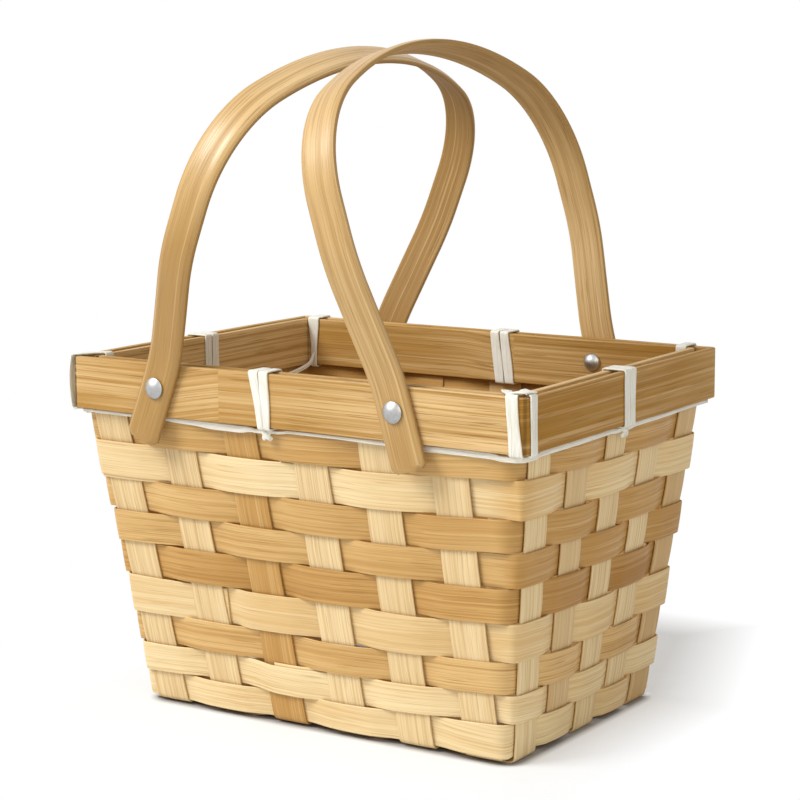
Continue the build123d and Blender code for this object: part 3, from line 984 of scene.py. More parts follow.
@dataclass
class WovenRings:
    """The ten rings that go inside and outside the stakes in turn."""

    shape: WeaveShape
    thickness: float = 0.62
    crown: float = 0.12
    offset: float = 0.88
    bow_out: float = 0.5
    bow_in: float = 0.2
    flat: float = 7.9
    corner_radius: float = 7.0
    inside_room: float = 2.5
    corner_count: float = 0.4
    corner_gain: float = 0.2
    least_steps: int = 2
    least_arc_steps: int = 4
    fine_step: float = 0.5
    step: float = 1.25
    layer: float = 0.36
    layer_ramp: float = 9.0
    first_seed: int = 200
    sways: int = 6
    sway: float = 0.11
    slow_swell: Wave = Wave(0.16, count=5)
    fast_swell: Wave = Wave(0.1, count=11)
    slow_tone: Wave = Wave(0.14, count=3)
    fast_tone: Wave = Wave(0.08, count=7)
    rim_lean: float = 0.25
    # Where rings turn browner towards the right wall, partly painted shade.
    pale_right_tone_and_shade: float = 0.1
    right_start: float = 82.0
    right_run: float = 10.0
    # Darkening round a sharp crease at the near corner: painted shade.
    crease_painted_shade: float = 0.7
    crease_shade_reach: float = 12.0
    flare_reach: float = 17.0
    grain_gap: float = 1500.0
    # Browner back faces: partly the strips' own tone, partly painted shade.
    section: Section = Section(edge_radius=0.2, back_tone_and_shade=0.55)

    # From the bottom: finish, tone, stake at which the ends lap, length of the lap, and what is odd.
    LOOKS = (
        RowLook(Slot.LIGHT, 0.14, 14.4, 26.0),
        RowLook(Slot.LIGHT, 0.0, 1.9, 30.0, twist=0.55),
        RowLook(Slot.TAN, 0.0, 19.0, 24.0),
        RowLook(Slot.LIGHT, 0.42, 0.62, 22.0),
        RowLook(Slot.BROWN, 0.18, 13.0, 24.0, flare=0.9, right_tone_and_shade=0.6),
        RowLook(Slot.TAN, 0.22, 16.0, 24.0, right_tone_and_shade=0.66),
        RowLook(Slot.TAN, 0.44, 18.0, 24.0, flare=1.4),
        RowLook(Slot.LIGHT, 0.22, 21.7, 34.0, twist=-0.6, flare=0.9, crease=1.2),
        RowLook(Slot.TAN, 0.34, 14.0, 24.0, flare=0.9),
        RowLook(Slot.LIGHT, 0.3, 13.0, 24.0),
    )

    def stake_sign(self, number: int, row: int) -> int:
        """Side of the ring at a stake: 1 where it passes outside, -1 where it passes inside."""
        return -1 if (number + row) % 2 == 0 else 1

    def wall_offset(self, along: float, stakes: list[tuple[float, int]], row: int) -> float:
        """How far the ring stands out of the weave's middle surface.

        Args:
            along: Place along the wall.
            stakes: The wall's stakes in order.
            row: Number of the ring.

        Returns:
            The distance outwards.
        """
        level = self.offset
        spots = [(place, self.stake_sign(number, row)) for place, number in stakes]
        if along <= spots[0][0]:
            base, near = spots[0][1] * level, spots[0]
        elif along >= spots[-1][0]:
            base, near = spots[-1][1] * level, spots[-1]
        else:
            for before, after in zip(spots, spots[1:]):
                if before[0] <= along <= after[0]:
                    start, end = before[0] + self.flat, after[0] - self.flat
                    share = smooth((along - start) / (end - start))
                    base = mix(before[1] * level, after[1] * level, share)
                    near = before if along - before[0] < after[0] - along else after
                    break
        pitch = spots[1][0] - spots[0][0]
        reach = pitch / 2
        share = max(1 - ((along - near[0]) / reach) ** 2, 0.0)
        bow = self.bow_out if near[1] > 0 else -self.bow_in
        return base + bow * share * share

    def plan(self, row: int) -> list[tuple[Vector, float]]:
        """Plan of a ring at the height of its middle.

        Args:
            row: Number of the ring, from 0 at the bottom.

        Returns:
            Points close together, and the place of each counted in stakes from the first.
        """
        shape = self.shape
        z = shape.row_middle(row)
        look = self.LOOKS[row]
        halves = {0: shape.half_width(z), 1: shape.half_length(z)}
        walls = list(Wall)
        stakes = {wall: shape.stakes(wall, z) for wall in walls}
        corner_offset = {}
        radii = {}
        for wall in walls:
            nearest = stakes[wall][-1]
            following = stakes[walls[(wall + 1) % 4]][0]
            before = self.stake_sign(nearest[1], row) * self.offset
            after = self.stake_sign(following[1], row) * self.offset
            corner_offset[wall] = (before, after)
            room_before = halves[(wall + 1) % 2] + after - nearest[0] - self.flat
            room_after = halves[wall % 2] + before + following[0] - self.flat
            room_before += 0.0 if before > 0 else self.inside_room
            room_after += 0.0 if after > 0 else self.inside_room
            radius = min(self.corner_radius, room_before, room_after)
            if look.crease and wall == Wall.FRONT:
                radius = look.crease
            radii[wall] = radius
        points = []
        for wall in walls:
            last = walls[wall - 1]
            out, onward = OUTWARD[wall], ONWARD[wall]
            across, length = halves[wall % 2], halves[(wall + 1) % 2]
            start = -(length + corner_offset[last][0]) + radii[last]
            end = length + corner_offset[wall][1] - radii[wall]
            count = max(int((end - start) / self.fine_step), self.least_steps)
            numbers = stakes[wall]
            for step in range(count + 1):
                along = mix(start, end, step / count)
                offset = self.wall_offset(along, numbers, row)
                spot = onward * along + out * (across + offset)
                pitch = numbers[1][0] - numbers[0][0]
                points.append((spot, numbers[0][1] + (along - numbers[0][0]) / pitch))
            onto = OUTWARD[walls[(wall + 1) % 4]]
            before, after = corner_offset[wall]
            radius = radii[wall]
            centre = onward * (length + after - radius) + out * (across + before - radius)
            arc_steps = max(int(radius * QUARTER / self.fine_step), self.least_arc_steps)
            for step in range(1, arc_steps):
                angle = QUARTER * step / arc_steps
                spot = centre + (out * math.cos(angle) + onto * math.sin(angle)) * radius
                reached = numbers[-1][1] + self.corner_count + self.corner_gain * step / arc_steps
                points.append((spot, reached))
        return points

    def resample(self, points: list[tuple[Vector, float]]) -> list[tuple[Vector, float, float]]:
        """Space a closed plan evenly.

        Args:
            points: Places close together, each with its stake count.

        Returns:
            Even places, each with its distance from the start and its stake count.
        """
        loop = points + points[:1]
        lengths = [0.0]
        for (first, _), (second, _) in zip(loop, loop[1:]):
            lengths.append(lengths[-1] + (second - first).length)
        total = lengths[-1]
        count = int(total / self.step)
        even = []
        cursor = 0
        for index in range(count):
            target = total * index / count
            while lengths[cursor + 1] < target:
                cursor += 1
            span = lengths[cursor + 1] - lengths[cursor]
            share = (target - lengths[cursor]) / span if span else 0.0
            spot = loop[cursor][0].lerp(loop[cursor + 1][0], share)
            even.append((spot, target, loop[cursor][1]))
        return even

    def stations(self, row: int) -> list[Station]:
        """Stations of one ring, from its inner end round to its outer end.

        Args:
            row: Number of the ring, from 0 at the bottom.

        Returns:
            The stations, with the ends overlapping.
        """
        shape = self.shape
        look = self.LOOKS[row]
        even = self.resample(self.plan(row))
        count = len(even)
        start = min(range(count), key=lambda index: abs(even[index][2] - look.lap_stake))
        overlap = int(look.lap_length / self.step)
        ramp = self.layer_ramp / self.step
        chance = random.Random(self.first_seed + row)
        waves = [(chance.uniform(0, math.tau), chance.uniform(0.6, 1.3)) for _ in range(self.sways)]
        phases = [phase for phase, _ in waves]
        near_corner = (shape.rim_half_length, -shape.rim_half_width)
        left_corner = (-shape.rim_half_length, -shape.rim_half_width)
        in_rim = row == shape.rows - 1
        right_tone_and_shade = self.pale_right_tone_and_shade if look.slot == Slot.LIGHT else look.right_tone_and_shade
        stations = []
        for step in range(count + overlap):
            index = (start + step) % count
            spot = even[index][0]
            before, after = even[index - 1][0], even[(index + 1) % count][0]
            tangent = (after - before).normalized()
            out = Vector((tangent.y, -tangent.x, 0.0))
            inner = 1.0 - smooth((step - overlap) / ramp) if step > overlap else 1.0
            outer = 1.0 - smooth((count - step) / ramp) if step < count else 1.0
            layer = self.layer * (outer - inner)
            twist = look.twist * (outer - inner)
            turn = math.tau * step / count
            sway = sum(
                self.sway * size * math.sin(turn * (harmonic + 2) + phase)
                for harmonic, (phase, size) in enumerate(waves)
            )
            swell = self.slow_swell.at(turn, phases[1]) + self.fast_swell.at(turn, phases[2])
            slope = shape.slope_x * out.x * out.x + shape.slope_y * out.y * out.y
            if in_rim:
                slope *= self.rim_lean
            across = (UP + out * slope).normalized()
            face = (out - UP * slope).normalized()
            from_near = math.dist((spot.x, spot.y), near_corner)
            low, high = shape.row_edge(row, from_near), shape.row_edge(row + 1, from_near)
            z = (low + high) / 2 + (0.0 if in_rim else sway - twist)
            tone = look.tone + self.slow_tone.at(turn, phases[3]) + self.fast_tone.at(turn, phases[4])
            # Browner towards the right wall: partly the wood's tone, partly painted shade.
            tone += right_tone_and_shade * smooth((spot.x - self.right_start) / self.right_run)
            # Darker round the crease at the near corner: painted shade.
            if look.crease:
                tone += self.crease_painted_shade * math.exp(-((from_near / self.crease_shade_reach) ** 2))
            from_left = math.dist((spot.x, spot.y), left_corner)
            loose = look.flare * math.exp(-((from_left / self.flare_reach) ** 2))
            point = Vector((spot.x - loose, spot.y, z)) + out * layer
            height = high - low - shape.row_gap + swell
            stations.append(Station(point, across, face, height, self.thickness, self.crown, max(tone, 0.0)))
        return stations

    def build(self, finishes: Finishes) -> list[Piece]:
        """Build the rings.

        Args:
            finishes: Every finish.

        Returns:
            The pieces.
        """
        pieces = []
        for row, look in enumerate(self.LOOKS):
            ring = sweep(self.stations(row), self.section, False, RING_GRAIN + self.grain_gap * row)
            name, node = f"woven_ring_{row + 1:02d}", f"weaver_row_{row + 1:02d}"
            pieces.append(settle(ring, name, node, look.slot, Body.BASKET, finishes))
        return pieces


@dataclass
class RimHoop:
    """One bent slat round the rim, its two ends pared down and overlapped."""

    node: str
    half_length: float
    half_width: float
    radius: float
    lap_x: float
    lap_wall: Wall
    seed: int
    thickness: float = 2.6
    height: float = 20.4
    bottom: float = 119.6
    lap: float = 24.0
    thin: float = 0.5
    play: float = 0.3
    step: float = 3.0
    corner_steps: int = 12
    shift_wave: Wave = Wave(0.04, count=9)
    slow_rise: Wave = Wave(0.1, count=4)
    fast_rise: Wave = Wave(0.08, count=11)
    rise_share: float = 0.6
    height_wave: Wave = Wave(0.12, count=6)
    tone_wave: Wave = Wave(0.08, count=5)
    plain_tone: float = 0.3
    left_scorch: Pair = (0.9, 0.6)
    other_scorch: Pair = (0.45, 0.85)
    scorch_run: float = 0.14
    grain_gap: float = 900.0
    section: Section = Section(edge_radius=0.45, corner_steps=3)

    def plan(self) -> list[tuple[Vector, Vector, float]]:
        """Middle line of the slat.

        Returns:
            Places, outward directions, and how far into a corner's bend each is, from 0 to 1.
        """
        radius = self.radius - self.thickness / 2
        a, b = self.half_length - self.thickness / 2, self.half_width - self.thickness / 2
        halves = {0: b, 1: a}
        points = []
        for wall in Wall:
            out, onward = OUTWARD[wall], ONWARD[wall]
            across, length = halves[wall % 2], halves[(wall + 1) % 2]
            reach = length - radius
            count = int(2 * reach / self.step)
            for step in range(count + 1):
                points.append((onward * mix(-reach, reach, step / count) + out * across, out, 0.0))
            onto = OUTWARD[Wall((wall + 1) % 4)]
            centre = onward * reach + out * (across - radius)
            for step in range(1, self.corner_steps):
                angle = QUARTER * step / self.corner_steps
                facing = out * math.cos(angle) + onto * math.sin(angle)
                bend = math.sin(math.pi * step / self.corner_steps)
                points.append((centre + facing * radius, facing, bend))
        return points

    def tone_at(self, spot: Vector) -> float:
        """Tone of the slat's wood at a place, the same everywhere unless a hoop says otherwise."""
        return self.plain_tone

    def stations(self) -> list[Station]:
        """Stations of the slat from its inner end round to its outer one.

        Returns:
            The stations, with the pared ends overlapping.
        """
        plan = self.plan()
        sideways = ONWARD[self.lap_wall]
        facing = OUTWARD[self.lap_wall]
        lap_place = self.lap_x * sideways.x
        candidates = [index for index, (_, out, _) in enumerate(plan) if out.dot(facing) > SAME_WAY]
        start = min(candidates, key=lambda index: abs(plan[index][0].dot(sideways) - lap_place))
        count = len(plan)
        overlap = int(self.lap / self.step)
        phases = wave_starts(self.seed, 5)
        stations = []
        total = count + overlap
        for step in range(total + 1):
            spot, out, bend = plan[(start + step) % count]
            turn = math.tau * step / count
            inner = max(1.0 - step / overlap, 0.0)
            outer = max(1.0 - (total - step) / overlap, 0.0)
            thick = self.thickness - (self.thickness - self.thin) * max(inner, outer)
            spare = (self.thickness - thick) / 2
            shift = spare if outer else -spare if inner else 0.0
            shift += self.shift_wave.at(turn, phases[0])
            rise = self.slow_rise.at(turn, phases[1]) + self.fast_rise.at(turn, phases[2])
            height = self.height - self.play + self.height_wave.at(turn, phases[3])
            tone = self.tone_at(spot) + self.tone_wave.at(turn, phases[4])
            at_left_corner = spot.x < 0 and spot.y < 0
            burnt, bend_start = self.left_scorch if at_left_corner else self.other_scorch
            scorch = burnt * smooth((bend - bend_start) / self.scorch_run)
            middle = self.bottom + self.height / 2 + rise * self.rise_share
            point = spot + out * shift + UP * middle
            stations.append(Station(point, UP, out, height, thick, 0.0, max(tone, 0.0), scorch))
        return stations

    def build(self, finishes: Finishes) -> Piece:
        """Build the slat."""
        slat = sweep(self.stations(), self.section, False, HOOP_GRAIN + self.grain_gap * self.seed)
        return settle(slat, f"rim_{self.node}", self.node, Slot.RIM, Body.BASKET, finishes)


@dataclass
class OuterHoop(RimHoop):
    """The slat outside the weave, paler in front than at the right end, whose browner tone is partly the
    wood's own and partly painted shade.
    """

    end_depth: float = 4.0
    # Browner right end: partly the wood's tone, partly painted shade.
    end_tones_and_shade: Pair = (1.05, 0.52)
    end_start: float = -70.0
    end_run: float = 100.0
    seam_tone: float = 0.36
    front_tones: Pair = (0.42, 0.1)
    front_start: float = 10.0
    front_run: float = 50.0

    def tone_at(self, spot: Vector) -> float:
        """Tone of the slat at a place, with painted shade in part of the right end's browner tone.

        Args:
            spot: The place, in millimetres.

        Returns:
            The tone, from 0 for pale wood to 1 for brown.
        """
        # The right end is browner: partly the wood's tone, partly painted shade.
        if spot.x > self.half_length - self.end_depth:
            return mix(*self.end_tones_and_shade, smooth((spot.y - self.end_start) / self.end_run))
        if spot.y >= 0:
            return self.plain_tone
        if spot.x < self.lap_x + self.lap:
            return self.seam_tone
        return mix(*self.front_tones, smooth((spot.x - self.front_start) / self.front_run))


@dataclass
class InnerHoop(RimHoop):
    """The slat inside the weave, paler at its left and right ends than along its sides."""

    end_depth: float = 5.0
    end_tone: float = 0.0
    side_tone: float = 0.44

    def tone_at(self, spot: Vector) -> float:
        """Tone of the slat's wood at a place."""
        return self.end_tone if abs(spot.x) > self.half_length - self.end_depth else self.side_tone


@dataclass(frozen=True)
class Band:
    """One turn of lacing round the rim, leaning from its top place to its bottom one."""

    wall: Wall
    top: float
    bottom: float
    width: float
    inner_width: float
    seed: int
    inner_place: float | None = None
    foot_share: float = 1.0
    bow: float = 0.0
    flared: bool = False


# A place on a strand of lacing: where it lies, which way it faces, and its width.
Spot = tuple[Vector, Vector, float]


@dataclass
class Lacing:
    """White lacing that ties the hoops to the weave."""

    shape: WeaveShape
    rim_half_length: float = 100.8
    rim_half_width: float = 77.0
    rim_depth: float = 8.584
    rim_top: float = 140.0
    rim_bottom: float = 119.6
    slack: float = 0.12
    thickness: float = 0.66
    strand: float = 4.25
    corner_x: float = 88.716
    corner_y: float = 64.916
    pair_reach: float = 2.3
    turn_radius: float = 0.75
    turn_steps: int = 4
    run_step: float = 2.0
    band_crown: float = 0.07
    side_wave: Wave = Wave(0.16, reach=5.0)
    width_wave: Wave = Wave(0.05, reach=4.0)
    flare: float = 0.6
    flare_rate: float = 1.5
    band_section: Section = Section(0.3, 3, (-0.9, -0.4, 0.0, 0.4, 0.9))
    strand_section: Section = Section(0.3, 3, (-0.8, 0.0, 0.8))
    strand_crown: float = 0.04
    strand_steps: int = 6
    ply_thickness: float = 0.5
    ply_lift: float = 0.9
    run_z: float = 117.6
    run_top: float = 119.25
    run_near_top: float = 118.6
    run_radius: float = 3.2
    run_corner_steps: int = 8
    run_crown: float = 0.1
    weave_reach: float = 1.3
    ring_play: float = 0.25
    run_gap: float = 0.45
    tied_drop: float = 0.65
    tied_reach: float = 4.5
    tied_run: float = 5.0
    run_rise: Wave = Wave(0.08, reach=9.0)
    run_sway: Wave = Wave(0.1, reach=13.0)
    knot_z: float = 116.9
    knot_reach: float = 3.0
    knot_front_x: float = -9.6
    knot_right_y: float = 0.5
    knot_thickness: float = 0.7
    grain_gap: float = 100.0

    # Where along each wall a turn ties the running strand down.
    TIED = {
        Wall.FRONT: (-9.5, 95.0),
        Wall.RIGHT: (-72.0, 0.5),
        Wall.BACK: (-88.0, -8.0, 88.0),
        Wall.LEFT: (0.5, 65.0),
    }

    # Seen height of the running strand, at places along each wall.
    RUN_WIDTHS = {
        Wall.FRONT: (
            (-97, 1.2), (-62, 1.2), (-46, 2.0), (-34, 2.8), (-23, 2.8), (-15, 1.6), (-9, 1.2), (20, 1.3),
            (42, 1.6), (60, 2.3), (84, 2.3), (97, 2.0),
        ),
        Wall.RIGHT: ((-75, 1.9), (-40, 2.1), (-8, 1.9), (0, 1.6), (8, 1.9), (40, 1.6), (75, 1.4)),
        Wall.BACK: ((-97, 1.6), (-30, 2.2), (10, 1.5), (50, 2.0), (97, 1.6)),
        Wall.LEFT: ((-97, 1.6), (-30, 2.2), (10, 1.5), (50, 2.0), (97, 1.6)),
    }

    # How each turn of a knot leans, and how far it lies out of the turn below it.
    KNOT_TURNS = ((0.9, 0.0), (-0.8, 0.35))

    def bands(self) -> dict[str, list[Band]]:
        """List every turn of the lacing.

        Returns:
            The turns, by the name of their piece.
        """
        front, right, back, left = Wall.FRONT, Wall.RIGHT, Wall.BACK, Wall.LEFT
        x, y = self.corner_x, self.corner_y
        pair = (-self.pair_reach, self.pair_reach)
        return {
            "front_middle": [
                Band(front, -14.0, -10.6, self.strand, 4.0, 3, foot_share=0.7),
                Band(front, -9.4, -8.3, self.strand, 4.0, 4, foot_share=0.75),
            ],
            "right_middle": [Band(right, 0.5 + move, 0.5 + move * 0.9, 4.1, 4.0, 5) for move in pair],
            "back_middle": [Band(back, 5.5 + move, 7.9 + move, self.strand, 4.2, 7) for move in pair],
            "left_middle": [Band(left, -0.5 + move, -0.5 + move, 4.1, 4.1, 9) for move in pair],
            "near_corner": [
                Band(front, 95.3, 96.9, 4.7, 4.0, 11, inner_place=x - 0.6, foot_share=1.1),
                Band(right, -72.2, -72.0, 4.3, 3.6, 12, inner_place=-y + 0.6),
            ],
            "left_corner": [Band(left, -74.4, -74.8, 3.8, 4.4, 13, inner_place=-y, bow=1.5)],
            "back_corner": [Band(back, -x, -x, 4.9, 3.0, 14, flared=True)],
            "right_corner": [Band(back, x, x, 4.6, 4.6, 15)],
        }

    def turn_line(self, outside: float, inside: float, low: float, high: float) -> list[tuple[Pair, Pair]]:
        """Line of a turn round the hoops, seen along the rim.

        Args:
            outside: Distance of the outer run from the basket's middle.
            inside: Distance of the inner run from the basket's middle.
            low: Height of the run under the hoops.
            high: Height of the run over the hoops.

        Returns:
            Places, as distance and height, and the direction in which each faces.
        """
        radius = self.turn_radius
        corners = ((outside, high, 0), (outside, low, -1), (inside, low, -2), (inside, high, -3))
        arcs = []
        for across, z, quarter in corners:
            side = 1 if across == outside else -1
            level = 1 if z == high else -1
            centre = (across - side * radius, z - level * radius)
            arc = []
            for step in range(self.turn_steps + 1):
                angle = QUARTER * (1 + quarter) - QUARTER * step / self.turn_steps
                facing = (math.cos(angle), math.sin(angle))
                arc.append(((centre[0] + radius * facing[0], centre[1] + radius * facing[1]), facing))
            arcs.append(arc)
        points = []
        for arc, following in zip(arcs, arcs[1:] + arcs[:1]):
            points += arc
            (start, facing), end = arc[-1], following[0][0]
            pieces = max(int(math.dist(start, end) / self.run_step), 1)
            for step in range(1, pieces):
                share = step / pieces
                points.append(((mix(start[0], end[0], share), mix(start[1], end[1], share)), facing))
        return points

    def band_mesh(self, band: Band) -> Mesh:
        """One turn of lacing as a closed flat loop.

        Args:
            band: Place and width of the turn.

        Returns:
            The turn's mesh.
        """
        long_side = band.wall in (Wall.FRONT, Wall.BACK)
        reach = self.rim_half_width if long_side else self.rim_half_length
        out = OUTWARD[band.wall]
        axis = Vector((1.0, 0.0, 0.0)) if long_side else Vector((0.0, 1.0, 0.0))
        gap = self.slack + self.thickness / 2
        outside, inside = reach + gap, reach - self.rim_depth - gap
        low, high = self.rim_bottom - gap, self.rim_top + gap
        phases = wave_starts(band.seed, 2)
        stations = []
        for (across, z), facing in self.turn_line(outside, inside, low, high):
            drop = (high - z) / (high - low)
            inner = smooth((outside - across) / (outside - inside))
            along = mix(band.top, band.bottom, drop) + self.side_wave.at(z, phases[0])
            if band.inner_place is not None:
                along = mix(along, band.inner_place, inner)
            width = mix(band.width * mix(1.0, band.foot_share, drop), band.inner_width, inner)
            width *= 1 + self.width_wave.at(z, phases[1])
            if band.flared and inner > 0.5:
                width = mix(band.width + self.flare, band.inner_width, smooth(drop * self.flare_rate))
            normal = out * facing[0] + UP * facing[1]
            if across > outside - TOUCH:
                across += band.bow * math.sin(math.pi * drop)
            point = axis * along + out * across + UP * z
            stations.append(Station(point, axis, normal, width, self.thickness, self.band_crown))
        return sweep(stations, self.band_section, True, BAND_GRAIN + self.grain_gap * band.seed)

    def ease(self, spots: list[Spot]) -> list[Spot]:
        """Run a smooth curve through a strand's places.

        Args:
            spots: The places in order.

        Returns:
            Places close together on the curve, from the first to the last.
        """
        eased = []
        last = len(spots) - 1
        for index in range(last):
            previous, start = spots[max(index - 1, 0)], spots[index]
            end, following = spots[index + 1], spots[min(index + 2, last)]
            for step in range(self.strand_steps + (1 if index == last - 1 else 0)):
                t = step / self.strand_steps
                weights = (
                    -0.5 * t + t * t - 0.5 * t**3,
                    1 - 2.5 * t * t + 1.5 * t**3,
                    0.5 * t + 2 * t * t - 1.5 * t**3,
                    -0.5 * t * t + 0.5 * t**3,
                )
                pack = (previous, start, end, following)
                point = sum((spot[0] * weight for spot, weight in zip(pack, weights)), Vector())
                eased.append((point, start[1].lerp(end[1], t), mix(start[2], end[2], t)))
        return eased

    def strand_mesh(self, spots: list[Spot], seed: int, thickness: float) -> Mesh:
        """A short free strand of lacing.

        Args:
            spots: Places along the strand.
            seed: Where on the grain map it starts.
            thickness: Thickness of the strand.

        Returns:
            The strand's mesh.
        """
        eased = self.ease(spots)
        stations = []
        for index, (point, facing, width) in enumerate(eased):
            before = eased[max(index - 1, 0)][0]
            after = eased[min(index + 1, len(eased) - 1)][0]
            tangent = (after - before).normalized()
            across = tangent.cross(facing).normalized()
            normal = across.cross(tangent).normalized()
            stations.append(Station(point, across, normal, width, thickness, self.strand_crown))
        return sweep(stations, self.strand_section, False, STRAND_GRAIN + self.grain_gap * seed)

    def corner_arch(self) -> Mesh:
        """The strand that arches over the rim's top between the two turns at the near corner.

        Returns:
            The strand's mesh.
        """
        tilted = (UP + Vector((0.7, -0.7, 0.0)) * 0.3).normalized()
        top = self.rim_top
        spots = [
            (Vector((94.0, -75.0, top + 0.9)), UP, 2.2),
            (Vector((96.4, -75.6, top + 1.5)), UP, 2.4),
            (Vector((98.6, -74.8, top + 1.7)), tilted, 2.6),
            (Vector((99.5, -72.6, top + 1.6)), tilted, 2.6),
            (Vector((99.7, -69.6, top + 1.1)), UP, 2.6),
        ]
        return self.strand_mesh(spots, 1, self.thickness)

    def inner_ply(self, lift: float, seed: int) -> Mesh:
        """One ply of the thin strand that runs inside from the back left corner.

        Args:
            lift: How far it lies above the lowest ply.
            seed: Where on the grain map it starts.

        Returns:
            The ply's mesh.
        """
        x, y = -self.corner_x, self.rim_half_width - self.rim_depth
        spots = [
            (Vector((x + 0.2, y - 0.9, 124.0 + lift)), Vector((0.0, -1.0, 0.0)), 1.3),
            (Vector((x, y - 4.0, 120.2 + lift)), Vector((0.3, -0.8, 0.5)), 1.2),
            (Vector((x - 0.6, y - 12.0, 118.0 + lift)), Vector((0.7, -0.2, 0.7)), 1.1),
            (Vector((x - 0.7, y - 24.0, 116.6 + lift)), Vector((0.9, 0.0, 0.4)), 1.1),
            (Vector((x - 0.6, y - 34.0, 116.4 + lift)), Vector((1.0, 0.0, 0.2)), 1.0),
        ]
        return self.strand_mesh(spots, seed, self.ply_thickness)

    def run_mesh(self) -> Mesh:
        """The running strand under the rim, which turns flat or on edge as it goes round.

        Returns:
            The strand's mesh.
        """
        a, b = self.shape.half_length(self.run_z), self.shape.half_width(self.run_z)
        offset = self.weave_reach + self.ring_play + self.thickness / 2 + self.run_gap
        radius = self.run_radius
        halves = {0: b + offset, 1: a + offset}
        stations = []
        for wall in Wall:
            out, onward = OUTWARD[wall], ONWARD[wall]
            across, length = halves[wall % 2], halves[(wall + 1) % 2]
            reach = length - radius
            count = int(2 * reach / self.run_step)
            for step in range(count + 1):
                along = mix(-reach, reach, step / count)
                width = self.run_width(wall, along)
                near = min(abs(along - place) for place in self.TIED[wall])
                drop = self.tied_drop * smooth(1.0 - (near - self.tied_reach) / self.tied_run)
                top = self.run_top - drop + self.run_rise.at(along, wall)
                spot = onward * along + out * (across + self.run_sway.at(along, 0.0))
                spot += UP * (top - width / 2)
                stations.append(Station(spot, UP, out, width, self.thickness, self.run_crown))
            following = Wall((wall + 1) % 4)
            centre = onward * reach + out * (across - radius)
            before = self.run_width(wall, reach)
            after = self.run_width(following, -halves[wall % 2] + radius)
            top = self.run_near_top if wall == Wall.FRONT else self.run_top
            for step in range(1, self.run_corner_steps):
                angle = QUARTER * step / self.run_corner_steps
                facing = out * math.cos(angle) + OUTWARD[following] * math.sin(angle)
                width = mix(before, after, step / self.run_corner_steps)
                spot = centre + facing * radius + UP * (top - width / 2)
                stations.append(Station(spot, UP, facing, width, self.thickness, self.run_crown))
        return sweep(stations, self.strand_section, True, RUN_GRAIN)

    def run_width(self, wall: Wall, along: float) -> float:
        """Seen height of the running strand.

        Args:
            wall: The wall that it runs along.
            along: Place along the wall.

        Returns:
            The height, eased between the places that are given.
        """
        places = self.RUN_WIDTHS[wall]
        for (start, low), (end, high) in zip(places, places[1:]):
            if along <= end:
                return mix(low, high, smooth((along - start) / (end - start)))
        return places[-1][1]

    def knot_mesh(self, centre: Vector, wall: Wall, seed: int) -> list[Mesh]:
        """A small flat knot: two crossed turns pulled tight over the running strand.

        Args:
            centre: Middle of the knot.
            wall: Wall that it lies on.
            seed: Where on the grain map it starts.

        Returns:
            The meshes of its turns.
        """
        out, side = OUTWARD[wall], ONWARD[wall]
        turns = []
        for count, (lean, lift) in enumerate(self.KNOT_TURNS):
            run = (side + UP * lean).normalized()
            spots = [
                (centre - run * 2.6 - out * 0.55, (out - run * 0.8).normalized(), 1.5),
                (centre - run * 1.5 + out * (0.05 + lift), (out - run * 0.3).normalized(), 2.0),
                (centre + out * (0.3 + lift), out, 2.3),
                (centre + run * 1.5 + out * (0.05 + lift), (out + run * 0.3).normalized(), 2.0),
                (centre + run * 2.6 - out * 0.55, (out + run * 0.8).normalized(), 1.5),
            ]
            turns.append(self.strand_mesh(spots, seed + count, self.knot_thickness))
        return turns

    def knots(self) -> Mesh:
        """Both knots: one at the middle of the front, one at the middle of the right end.

        Returns:
            Their mesh.
        """
        out_y = self.shape.half_width(self.knot_z) + self.knot_reach
        out_x = self.shape.half_length(self.knot_z) + self.knot_reach
        front = Vector((self.knot_front_x, -out_y, self.knot_z))
        right = Vector((out_x, self.knot_right_y, self.knot_z))
        return join_meshes(self.knot_mesh(front, Wall.FRONT, 20) + self.knot_mesh(right, Wall.RIGHT, 24))

    def dress(self, mesh: Mesh, name: str, finishes: Finishes) -> Piece:
        """Finish one piece of lacing, named by its place."""
        return settle(mesh, f"tie_{name}", f"lacing_{name}", Slot.LACING, Body.BASKET, finishes)

    def build(self, finishes: Finishes) -> list[Piece]:
        """Build every piece of lacing.

        Args:
            finishes: Every finish.

        Returns:
            The pieces.
        """
        pieces = []
        for name, turns in self.bands().items():
            meshes = [self.band_mesh(turn) for turn in turns]
            if name == "near_corner":
                meshes.append(self.corner_arch())
            if name == "back_corner":
                meshes += [self.inner_ply(0.0, 2), self.inner_ply(self.ply_lift, 3)]
            pieces.append(self.dress(join_meshes(meshes), name, finishes))
        pieces.append(self.dress(self.run_mesh(), "run", finishes))
        pieces.append(self.dress(self.knots(), "knots", finishes))
        return pieces


# A place on a handle's outer line: how far out and how high it lies, and the angle that it faces.
ArchSpot = tuple[float, float, float]


